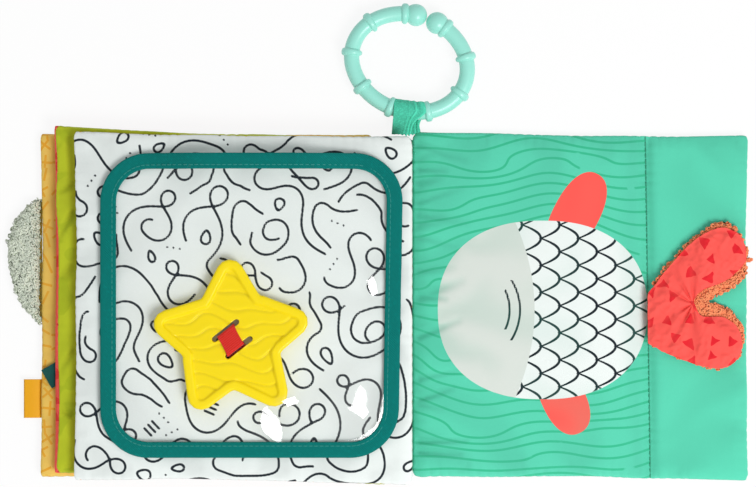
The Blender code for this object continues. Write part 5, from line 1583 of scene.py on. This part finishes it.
ring_degrees = np.linspace(*BALL_ANGLES, RING_STATIONS + 1).tolist()
ring_stations = [ring_spot(degrees) for degrees in ring_degrees]
ring_radii = [ring_radius(degrees) for degrees in ring_degrees]
cap_turns = [math.radians(degrees) for degrees in range(6, 90, 7)]
for _ in range(2):
    # The far half of the ball goes before the line, which is then turned round for its other end
    ahead = (ring_stations[1] - ring_stations[0]).normalized()
    far = [ring_stations[0] - ahead * BALL_RADIUS * math.cos(turn) for turn in cap_turns]
    ring_stations = (far + ring_stations)[::-1]
    ring_radii = ([BALL_RADIUS * math.sin(turn) for turn in cap_turns] + ring_radii)[::-1]
curve = bpy.data.curves.new("ring", "CURVE")
curve.dimensions, curve.bevel_depth, curve.bevel_resolution, curve.use_fill_caps = "3D", RING_TUBE, 12, True
spline = curve.splines.new("POLY")
spline.points.add(len(ring_stations) - 1)
for point, place, radius in zip(spline.points, ring_stations, ring_radii):
    point.co, point.radius = (place.x, place.y, ring_height, 1), radius / RING_TUBE
guide = bpy.data.objects.new("ring_guide", curve)
bpy.context.scene.collection.objects.link(guide)
shape = guide.evaluated_get(bpy.context.evaluated_depsgraph_get())
ring_mesh = bpy.data.meshes.new_from_object(shape)
bm = bmesh.new()
bm.from_mesh(ring_mesh)
bmesh.ops.remove_doubles(bm, verts=bm.verts, dist=0.02 * MM)
bmesh.ops.recalc_face_normals(bm, faces=bm.faces)
ring = made_object("ring", bm)
bpy.data.objects.remove(guide)
MINT = srgb(160, 236, 220)
ring_look = Look("Mint plastic", MINT, 0.3, Coat_Weight=0.12, Coat_Roughness=0.14)
ring_look.paint(ring_look.cloudy(18 * MM) * 0.25, tinted(MINT, 0.85))
ring_look.relief(ring_look.cloudy(6 * MM) * (0.02 * MM) + ring_look.cloudy(0.4 * MM, 2.0) * (0.003 * MM))
ring_look.rough = 0.26 + ring_look.cloudy(4 * MM, 4.0) * 0.12
finish_piece(ring, ring_look, "link_ring", "mint_plastic", "link_ring")

# %% [markdown]
# ## The ribbon that carries the ring
# A satin-like ribbon is folded over the ring and both its ends are sewn into the head of the spine. It is wide
# at the ring and gathered where it goes into the seam, so pleats fan out from there. From the side its path is
# a drop: round the eye, then in two straight runs to a point.

# %% Ring loop
LOOP_EYE = Vector((93.9 * MM, 5.6 * MM))
LOOP_RADIUS = 5.3 * MM
LOOP_ROOT = Vector((82.2 * MM, 3.2 * MM))
LOOP_WIDTH, LOOP_ROOT_WIDTH = 15.2 * MM, 8.8 * MM
LOOP_X, LOOP_ROOT_X, LOOP_LOWER_SHIFT = -0.1 * MM, -4.4 * MM, 5.0 * MM
LOOP_CELLS = (150, 60)
LOOP_PLEATS = 0.95 * MM
LOOP_SLANT = 1.1 * MM
PLEAT_TURNS = 15.0
loop_gap = LOOP_EYE - LOOP_ROOT
loop_spread = math.acos(LOOP_RADIUS / loop_gap.length)
loop_back = math.atan2(-loop_gap.y, -loop_gap.x)
loop_straight = math.sqrt(loop_gap.length_squared - LOOP_RADIUS**2)
loop_arc = 2 * (math.pi - loop_spread) * LOOP_RADIUS
loop_length = 2 * loop_straight + loop_arc


def loop_point(run):
    """(y, z) along the ribbon, from the root over the top layer round the eye and back below."""
    if run < loop_straight or run > loop_straight + loop_arc:
        upper = run < loop_straight
        angle = loop_back - loop_spread if upper else loop_back + loop_spread
        touch = LOOP_EYE + LOOP_RADIUS * Vector((math.cos(angle), math.sin(angle)))
        share = (run if upper else loop_length - run) / loop_straight
        return LOOP_ROOT.lerp(touch, share)
    angle = loop_back - loop_spread - (run - loop_straight) / LOOP_RADIUS
    return LOOP_EYE + LOOP_RADIUS * Vector((math.cos(angle), math.sin(angle)))


def loop_pleat(along, across):
    """Height of the pleats, from 0 to 1: they gather towards the right edge and die out to the left."""
    slant = across * PLEAT_TURNS + 5 * along
    uneven = 1.4 * noise.noise(Vector((across * 2.2, along * 5, 6.5)))
    gathered = min(1.0, max(0.1, 0.4 + across))
    return gathered * (0.5 + 0.5 * math.sin(slant + uneven * 2)) ** 1.5


def loop_place(along, across):
    point = loop_point(along * loop_length)
    share = min(1.0, max(0.0, (point.x - LOOP_ROOT.x) / (LOOP_EYE.x - LOOP_ROOT.x)))
    width = LOOP_ROOT_WIDTH + (LOOP_WIDTH - LOOP_ROOT_WIDTH) * share
    lower = min(1.0, max(0.0, (along - 0.45) * 6))
    root_x = LOOP_ROOT_X + LOOP_LOWER_SHIFT * lower
    x = root_x + (LOOP_X - root_x) * share + across * width / 2
    pleat = LOOP_PLEATS * (1 - 0.5 * share) * loop_pleat(along, across)
    x -= 1.5 * MM * max(0.0, across) * math.sin(math.pi * share) ** 2
    inward = LOOP_EYE - point
    place = point + inward.normalized() * (LOOP_PLEATS * 0.6 - pleat + 0.02 * MM)
    return Vector((x, place.x - LOOP_SLANT * across * share**2, place.y))


RING_RIBBON = srgb(78, 208, 174)
loop = band("ring_loop", LOOP_CELLS, loop_place, (loop_length, LOOP_WIDTH), 0.35 * MM)
loop_look = ribbon_look("Turquoise ribbon", RING_RIBBON, 0.5 * MM, 0.03 * MM)
knit = loop_look.cloudy(0.8 * MM, 3.0)
loop_look.relief(knit * (0.3 * MM))
# painted shade on the low parts of the knit, and painted highlight on its high parts
loop_look.paint(knit.below(0.46, 0.08) * 0.3, tinted(RING_RIBBON, 0.6))
loop_look.paint(knit.above(0.6, 0.08) * 0.4, tinted(RING_RIBBON, 1.45))
marks = [loop.data.attributes[name].data for name in ("along", "across")]
spots = [(along.value / loop_length, 2 * across.value / LOOP_WIDTH) for along, across in zip(*marks)]
store(loop.data, "pleat", [loop_pleat(*spot) for spot in spots])
# painted highlight along the tops of the pleats
loop_look.paint(loop_look.stored("pleat").above(0.6, 0.3) * 0.6, tinted(RING_RIBBON, 1.5))
finish_piece(loop, loop_look, "back_cover", "turquoise_ribbon", "ring_ribbon_loop")

# %% [markdown]
# ## Fleece
# Sherpa is a knit whose pile curls up in small tufts. Seen close by, each tuft is a curl that casts a little
# shadow, and that is what no bump map gives. So a pad carries the shape, and some two thousand copies of a few
# curls of yarn stand on it, from the face that shows to the rim, where they hang free.

# %% Curls of yarn
CURL_SIDES = 5
CURL_STEPS = 8
CURL_SIZE = 1.5 * MM
YARN_RADIUS = 0.5 * MM


def curl_template(name, seed):
    """A short tube that winds up like a curl, standing on the XY plane and leaning along X."""
    draw = random.Random(seed)
    turns, lean = draw.uniform(0.7, 1.25), draw.uniform(0.4, 0.9)
    wide = draw.uniform(0.75, 1.1) * CURL_SIZE
    spots = []
    for k in range(CURL_STEPS):
        share = k / (CURL_STEPS - 1)
        angle = FULL_TURN * turns * share
        spots.append(Vector((
            wide * (lean * share + 0.5 * (1 - math.cos(angle)) * 0.8),
            wide * 0.45 * math.sin(angle),
            wide * (0.25 + 0.55 * math.sin(math.pi * min(1.0, share * 1.15))),
        )))
    return tube(name, spots, CURL_SIDES, YARN_RADIUS, Matrix.Identity(3))


curls = [curl_template(f"curl_{k}", 40 + k) for k in range(5)]


def fleece_look(name, colour, deep):
    look = Look(name, colour, 0.95, Sheen_Weight=0.12, Specular_IOR_Level=0.1)
    look.paint(look.cloudy(4 * MM, 3.0).above(0.54, 0.14) * 0.35, deep)
    look.paint(look.cloudy(1.6 * MM, 2.0).above(0.58, 0.1) * 0.4, tinted(colour, 1.25))
    look.relief(look.cloudy(0.5 * MM, 3.0) * (0.05 * MM))
    return look


PAD_SHRINK = 1.2 * MM
PAD_SHRINK_UP = 0.2
CURL_RISE = 0.8 * MM
CLUMP_SIZE = 3.2 * MM
CLUMP_DEPTH = 0.9 * MM


def fleece_pad(node, name, voxel, shrink):
    """The CAD pad, rounded and drawn in, so that its curls reach out to the CAD surface."""
    obj = remeshed(node, name, voxel, 4)
    for vert in obj.data.vertices:
        clump = CLUMP_DEPTH * noise.noise(vert.co / CLUMP_SIZE)
        shift = vert.normal * (shrink - clump)
        vert.co -= Vector((shift.x, shift.y, shift.z * PAD_SHRINK_UP))
    return obj


def curls_on(pad, count, seed, low, high, covered=None):
    """Matrices of curls strewn over the pad's faces, kept between two heights."""
    draw = random.Random(seed)
    faces = list(pad.data.polygons)
    areas = np.cumsum([face.area for face in faces])
    made = []
    while len(made) < count:
        face = faces[int(np.searchsorted(areas, draw.random() * areas[-1]))]
        place, normal = face.center.copy(), face.normal.copy()
        if covered and covered(place, normal):
            continue
        out = Vector((normal.x, normal.y, normal.z + 0.05)).normalized()
        spin = Matrix.Rotation(draw.uniform(0, FULL_TURN), 4, "Z")
        size = draw.uniform(0.7, 1.2)
        tilt = out.to_track_quat("Z", "Y").to_matrix().to_4x4()
        top = place.z + CURL_SIZE * size * 0.95 * max(0.0, out.z)
        bottom = place.z + CURL_SIZE * size * 0.95 * min(0.0, out.z)
        if top > high:
            place.z -= top - high
        if bottom < low:
            place.z += low - bottom
        made.append(Matrix.Translation(place) @ tilt @ spin @ Matrix.Scale(size, 4))
    return made


def fleece(node, name, body, slot, look, count, seed, voxel, covered=None):
    """Pad and curls of one piece of sherpa, joined."""
    low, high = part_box(node)
    pad = fleece_pad(node, name + "_pad", voxel, PAD_SHRINK)
    heap = strewn_copies(name + "_curls", curls, curls_on(pad, count, seed, low.z, high.z + CURL_RISE, covered))
    bm = bmesh.new()
    bm.from_mesh(pad.data)
    bm.from_mesh(heap.data)
    for vert in bm.verts:
        vert.co.z = min(high.z + CURL_RISE, max(low.z, vert.co.z))
    bpy.data.objects.remove(pad)
    bpy.data.objects.remove(heap)
    return finish_piece(made_object(name, bm), look, body, slot, node, fill=0.5)


SHERPA_ORANGE = srgb(252, 152, 104)
SHERPA_GREY = srgb(220, 228, 210)
print("curls of", len(curls[0].polygons), "faces")

# %% [markdown]
# ## The tail
# The tail is a padded pocket of coral cloth on a piece of orange sherpa that is a little larger all round. The
# front is simulated: the CAD outline is filled with a fine even mesh, which pressure blows up while its rim
# shrinks, so that puckers run in from the seam and into the notch.

# %% Tail
TAIL_VOXEL = 1.3 * MM
TAIL_SHARES = (
    (-0.015, 0.02), (0.22, 0.23), (0.48, 0.41), (0.76, 0.50), (0.95, 0.43), (1.0, 0.27),
    (0.82, 0.14), (0.52, 0.05), (0.455, -0.04), (0.54, -0.135), (0.76, -0.14), (0.93, -0.23),
    (0.955, -0.37), (0.82, -0.485), (0.58, -0.485), (0.22, -0.4), (-0.01, -0.32),
)  # fmt: skip
TAIL_CORNER = Vector((114.8 * MM, 3.8 * MM))
TAIL_LENGTH, TAIL_SPAN = 46.0 * MM, 67.2 * MM
TAIL_PUFF = 7.0 * MM
TAIL_ROUNDING = 0.8 * MM
OUTLINE_STEPS = 10
ROOT_STEPS = 30
TAIL_PRESSURE = 3.0
TAIL_GROWS = 0.04
TAIL_SEAM_SHRINKS = 0.06
DEEPEST_DENT = 1.3 * MM
NOTCH_SHARES = (0.455, -0.04)
NOTCH_FOLD_DEPTH = 2.2 * MM
NOTCH_FOLD_REACH = 14 * MM
TAIL_DIP_DEPTH = 0.5 * MM
front_low, front_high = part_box("tail_front_cloth")
TAIL_FLOOR = front_low.z + 0.15 * MM


def smooth_line(points, steps):
    line = []
    for i in range(len(points) - 1):
        before, start = points[max(0, i - 1)], points[i]
        end, after = points[i + 1], points[min(len(points) - 1, i + 2)]
        for k in range(steps):
            t = k / steps
            first = (end - before) * t
            second = (2 * before - 5 * start + 4 * end - after) * t**2
            third = (3 * start - before - 3 * end + after) * t**3
            line.append(start + (first + second + third) / 2)
    return line + [points[-1]]


tail_points = [TAIL_CORNER + Vector((TAIL_LENGTH * out, TAIL_SPAN * up)) for out, up in TAIL_SHARES]
tail_line = smooth_line(tail_points, OUTLINE_STEPS)
root_line = [tail_line[-1].lerp(tail_line[0], k / ROOT_STEPS) for k in range(ROOT_STEPS)]
tail_rim = search_tree(tail_line + root_line)


def in_tail(x, y):
    """How far inside the tail's outline a point lies, in metres."""
    return tail_rim.find((x, y, 0))[2]


def tail_solid():
    """The outline as a prism, remeshed into small even faces, which takes off what it is grown by."""
    bm = bmesh.new()
    rim = []
    for before, point, after in zip(tail_line[-1:] + tail_line, tail_line, tail_line[1:] + tail_line[:1]):
        ahead = (after - before).normalized()
        grown = point + Vector((-ahead.y, ahead.x)) * TAIL_ROUNDING
        rim.append(bm.verts.new((grown.x, grown.y, TAIL_FLOOR)))
    face = bm.faces.new(rim)
    grown = bmesh.ops.extrude_face_region(bm, geom=[face])["geom"]
    lifted = [item for item in grown if isinstance(item, bmesh.types.BMVert)]
    bmesh.ops.translate(bm, verts=lifted, vec=(0, 0, front_high.z - TAIL_FLOOR - 0.4 * MM))
    bmesh.ops.recalc_face_normals(bm, faces=bm.faces)
    bmesh.ops.triangulate(bm, faces=bm.faces)
    return voxelled(helper_object("tail_front", bm), TAIL_VOXEL)


def domed(obj):
    """Brings the prism to the pad's shape: thin at the rim, full inside, flat below."""
    full = front_high.z - TAIL_FLOOR
    for vert in obj.data.vertices:
        share = (vert.co.z - TAIL_FLOOR) / full
        rise = 0.22 + 0.78 * swelling(in_tail(vert.co.x, vert.co.y) / TAIL_PUFF)
        vert.co.z = TAIL_FLOOR + min(1.0, share * 1.15) * rise * full
    return obj


def puffed(obj, seed):
    """Wrinkles from a cloth simulation, kept as shallow dents."""
    before = vertex_places(obj.data)
    draw = random.Random(seed)
    for vert in obj.data.vertices:
        vert.co.z += draw.uniform(-0.04, 0.04) * MM
    group = obj.vertex_groups.new(name="seam")
    rim = [v.index for v in obj.data.vertices if in_tail(v.co.x, v.co.y) < 1.5 * MM]
    group.add(rim, 1.0, "REPLACE")
    add_cloth(obj, TAIL_PRESSURE, TAIL_GROWS, TAIL_SEAM_SHRINKS, TAIL_BENDING)
    moved = stepped(obj, SIMULATED_FRAMES) - before
    obj.modifiers.clear()
    tree = search_tree(before)
    for vert, place in zip(obj.data.vertices, before):
        near = [number for _, number, _ in tree.find_range(place, 6 * MM)]
        fine = moved[vert.index] - moved[near].mean(axis=0)
        dent = -abs(fine[2]) if place[2] > TAIL_FLOOR + 1.2 * MM else 0.0
        shift = np.clip(fine[:2] * 0.5, -0.4 * MM, 0.4 * MM)
        vert.co = (place[0] + shift[0], place[1] + shift[1], place[2] + max(-DEEPEST_DENT, dent * 1.6))
    return obj


tail = puffed(domed(tail_solid()), 5)
refine = tail.modifiers.new("Finer", "SUBSURF")
refine.levels = refine.render_levels = 2
baked(tail)
notch = TAIL_CORNER + Vector((TAIL_LENGTH * NOTCH_SHARES[0], TAIL_SPAN * NOTCH_SHARES[1]))
top = front_high.z - 0.05 * MM
pucker, edge = [], []
for vert in tail.data.vertices:
    away = Vector((vert.co.x, vert.co.y)) - notch
    angle = math.atan2(away.y, away.x)
    fold = (0.5 + 0.5 * math.cos(9 * angle + 1.4 * math.sin(3 * angle))) ** 2
    fold *= math.exp(-away.length / NOTCH_FOLD_REACH)
    inside = in_tail(vert.co.x, vert.co.y)
    dip = valley(inside * 0.3 + vert.co.x * 0.7 + vert.co.y * 0.9, 31) * math.exp(-inside / SCALLOP_REACH)
    sunk = (NOTCH_FOLD_DEPTH * fold + TAIL_DIP_DEPTH * dip) * min(1.0, (vert.co.z - TAIL_FLOOR) / (1.5 * MM))
    vert.co.z = max(TAIL_FLOOR - 0.1 * MM, min(top, vert.co.z - max(0.0, sunk)))
    pucker.append(min(1.0, sunk / MM))
    edge.append(inside / MM)
store(tail.data, "pucker", pucker)
store(tail.data, "edge_mm", edge)
tail.data.shade_smooth()
tail.name = "tail_front"
finish_piece(tail, coral_look("Coral cloth with triangles, tail"), "tail", "coral_cloth",
             "tail_front_cloth", "tail_wadding", fill=0.7)


def under_front(place, normal):
    """No curls where the padded front lies on the sherpa, nor at the seam that it hangs from."""
    if place.x < TAIL_CORNER.x + 3.2 * MM:
        return True
    in_front = point_inside(tail_line, place.x, place.y) and in_tail(place.x, place.y) > 1.2 * MM
    return in_front and normal.z > -0.3


def point_inside(line, x, y):
    hit = False
    for a, b in zip(line, line[1:] + line[:1]):
        if (a.y > y) != (b.y > y) and x < a.x + (y - a.y) / (b.y - a.y) * (b.x - a.x):
            hit = not hit
    return hit


orange_fleece = fleece_look("Orange sherpa", SHERPA_ORANGE, srgb(226, 112, 70))
fleece("tail_back_sherpa", "tail_sherpa", "tail", "orange_sherpa", orange_fleece, 2100, 3, 0.9 * MM, under_front)

# %% [markdown]
# ## The plush flap and its backing
# The half round of grey-green sherpa stands out past the cover. Its back is a flat piece of the yellow cover
# cloth, so it doesn't curl.

# %% Flap
grey_fleece = fleece_look("Grey-green sherpa", SHERPA_GREY, srgb(172, 184, 170))
fleece("plush_flap_sherpa", "flap_sherpa", "plush_flap", "grey_sherpa", grey_fleece, 1950, 8, 0.9 * MM)

backing = remeshed("plush_flap_backing", "flap_backing", 0.3 * MM, 1)
trim = backing.modifiers.new("Fewer", "DECIMATE")
trim.decimate_type, trim.angle_limit = "DISSOLVE", math.radians(2)
baked(backing)
backing_look = cloth("Flap backing cloth", YELLOW)
finish_piece(backing, backing_look, "plush_flap", "yellow_cloth", "plush_flap_backing")

# %% [markdown]
# ## Label and tab
# The label is a short folded ribbon of satin in the fore-edge seam, left without print. The tab beside it is
# the end of a dark grosgrain ribbon that lies slanting on page 2.

# %% Label and teal tab
label_low, label_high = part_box("label_tab")
LABEL_FOLD = 0.4 * MM
LABEL_TUCK = 2.6 * MM
label_v = (label_low.y + label_high.y - 2 * front_cover.middle_y(1)) / 2 / front_cover.half_height
cover_edge = front_cover.place(1.0, label_v, True)
label_root = cover_edge.x + LABEL_TUCK
label_seam = cover_edge.z + FORE_EDGE_ROLLS["front_cover"][1]


def label_place(along, across):
    """From the seam out on top, round the fold, and back below."""
    length = label_root - label_low.x
    run = along * 2 * length
    upper = run < length
    out = run if upper else 2 * length - run
    leave = swelling(max(0.0, out - LABEL_TUCK) / (6 * MM))
    height = ((label_high.z - label_low.z) / 2 - 0.15 * MM) * (0.3 + 0.7 * leave)
    middle = label_seam + ((label_low.z + label_high.z) / 2 - label_seam) * leave
    curl = math.sqrt(max(0.0, 1 - max(0.0, (out - length + LABEL_FOLD) / LABEL_FOLD) ** 2))
    z = middle + (height if upper else -height) * curl
    y = (label_low.y + label_high.y) / 2 + across * (label_high.y - label_low.y) / 2
    return Vector((label_root - out, y, z))


LABEL_ORANGE = srgb(240, 172, 14)
label_size = (2 * (label_root - label_low.x), label_high.y - label_low.y)
label = band("label", (60, 80), label_place, label_size, 0.25 * MM)
label_look = ribbon_look("Orange satin label", LABEL_ORANGE, 0.4 * MM, 0.012 * MM)
label_look.rough = 0.48
finish_piece(label, label_look, "front_cover", "orange_label", "label_tab")

tab_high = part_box("teal_ribbon_tab")[1]
TAB_END = Vector((-174.8 * MM, -35.4 * MM))
TAB_ANGLE = math.radians(31)
TAB_WIDTH = 10.0 * MM
tab_ahead = Vector((math.cos(TAB_ANGLE), math.sin(TAB_ANGLE)))
tab_side = Vector((-tab_ahead.y, tab_ahead.x))
tab_inner = tab_high.x - 0.05 * MM
tab_tree = node_surface("teal_ribbon_tab")


def tab_place(along, across):
    corner = TAB_END + tab_side * TAB_WIDTH * across / 2
    spot = corner + tab_ahead * along * (tab_inner - corner.x) / tab_ahead.x
    return Vector((spot.x, spot.y, height_on(tab_tree, spot.x, spot.y, tab_high.z) - 0.2 * MM))


DARK_TEAL = srgb(10, 92, 86)
tab = band("teal_tab", (60, 40), tab_place, (15 * MM, TAB_WIDTH), 0.3 * MM)
finish_piece(tab, ribbon_look("Dark teal grosgrain", DARK_TEAL, 0.9 * MM, 0.09 * MM),
             "front_cover", "teal_ribbon", "teal_ribbon_tab")

# %% [markdown]
# ## Stitches in the panel seam
# The two panels of page 7 are topstitched along their seam, in a thread a little darker than the cloth.

# %% Panel seam stitches
SEAM_STITCHES = 60
seam_places = []
for k in range(SEAM_STITCHES):
    v = -0.985 + 1.97 * k / (SEAM_STITCHES - 1)
    place = back_cover.place(back_cover.seam_u(v), v, True)
    seam_places.append(pose(Vector((place.x, place.y, place.z + 0.05 * MM)), Vector((-0.015, 1, 0))))
    if k == 0:
        print("first stitch at", [round(value / MM, 1) for value in seam_places[0].translation])
seam_row = strewn_copies("panel_seam_stitches", [stitch], seam_places)
finish_piece(seam_row, thread_look("Green thread", srgb(38, 152, 118)), "back_cover", "turquoise_cloth")

# %% [markdown]
# ## Floor, light and camera
# The photograph was taken from straight above, with one soft light from the lower right and a pale
# surround. The floor is nearly white. The world is white only to the camera and to light that passes through
# the film, so it lights the book no more than an overcast room would.

# %% Stage
FLOOR_SIZE = 6.0
FLOOR_GAP = 0.3 * MM
FLOOR_LIFT = 0.88
LAMP_PLACE = Vector((0.50, -0.50, 1.0))
LAMP_SIZE = 0.55
LAMP_POWER = 9.6
WORLD_GREY = 0.54
CAMERA_PLACE = Vector((-0.01536, 0.0300, 1.32))
CAMERA_LENS = 130.0

bm = bmesh.new()
bmesh.ops.create_grid(bm, x_segments=1, y_segments=1, size=FLOOR_SIZE / 2)
bmesh.ops.translate(bm, verts=bm.verts, vec=(0, 0, cad_low.z - FLOOR_GAP))
floor = helper_object("floor", bm)
floor_look = Look("Pale floor", srgb(252, 252, 252), 0.9)
floor_look.relief(floor_look.cloudy(0.8 * MM, 3.0) * (0.01 * MM))
lit = floor_look.node("ShaderNodeEmission", sockets={"Color": (1, 1, 1, 1), "Strength": 1.0})
rays = floor_look.node("ShaderNodeLightPath")
lifted = Signal(floor_look, rays.outputs["Is Camera Ray"]) * FLOOR_LIFT
floor_look.mixed(lifted, floor_look.shader.outputs["BSDF"], lit.outputs["Emission"])
floor.data.materials.append(floor_look.done())
floor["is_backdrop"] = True

lamp = bpy.data.lights.new("softbox", "AREA")
lamp.shape, lamp.size, lamp.energy = "SQUARE", LAMP_SIZE, LAMP_POWER
lamp_object = bpy.data.objects.new("softbox", lamp)
lamp_object.location = LAMP_PLACE
lamp_object.rotation_euler = (-LAMP_PLACE).to_track_quat("-Z", "Y").to_euler()
bpy.context.scene.collection.objects.link(lamp_object)

world = bpy.data.worlds.new("Studio")
world.use_nodes = True
bpy.context.scene.world = world
nodes, links = world.node_tree.nodes, world.node_tree.links
shown = nodes.new("ShaderNodeBackground")
shown.inputs["Color"].default_value = (1, 1, 1, 1)
dim = nodes["Background"]
dim.inputs["Color"].default_value = (WORLD_GREY, WORLD_GREY, WORLD_GREY, 1)
path, either, pick = (nodes.new("ShaderNode" + kind) for kind in ("LightPath", "Math", "MixShader"))
either.operation = "MAXIMUM"
links.new(path.outputs["Is Camera Ray"], either.inputs[0])
links.new(path.outputs["Is Transmission Ray"], either.inputs[1])
links.new(either.outputs[0], pick.inputs[0])
links.new(dim.outputs[0], pick.inputs[1])
links.new(shown.outputs[0], pick.inputs[2])
links.new(pick.outputs[0], nodes["World Output"].inputs["Surface"])

camera = bpy.data.cameras.new("camera")
camera.lens, camera.sensor_width = CAMERA_LENS, 36.0
camera_object = bpy.data.objects.new("camera", camera)
camera_object.location = CAMERA_PLACE
bpy.context.scene.collection.objects.link(camera_object)
bpy.context.scene.camera = camera_object
bpy.context.scene.view_settings.view_transform = "Standard"

# %% [markdown]
# ## The size at the end
# The dressed book must still fill the box of the CAD model, so its box is printed, as the CAD box was at the start.

# %% Finish
low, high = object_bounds()
print("visual box in mm:", [round(side / MM, 1) for side in high - low])
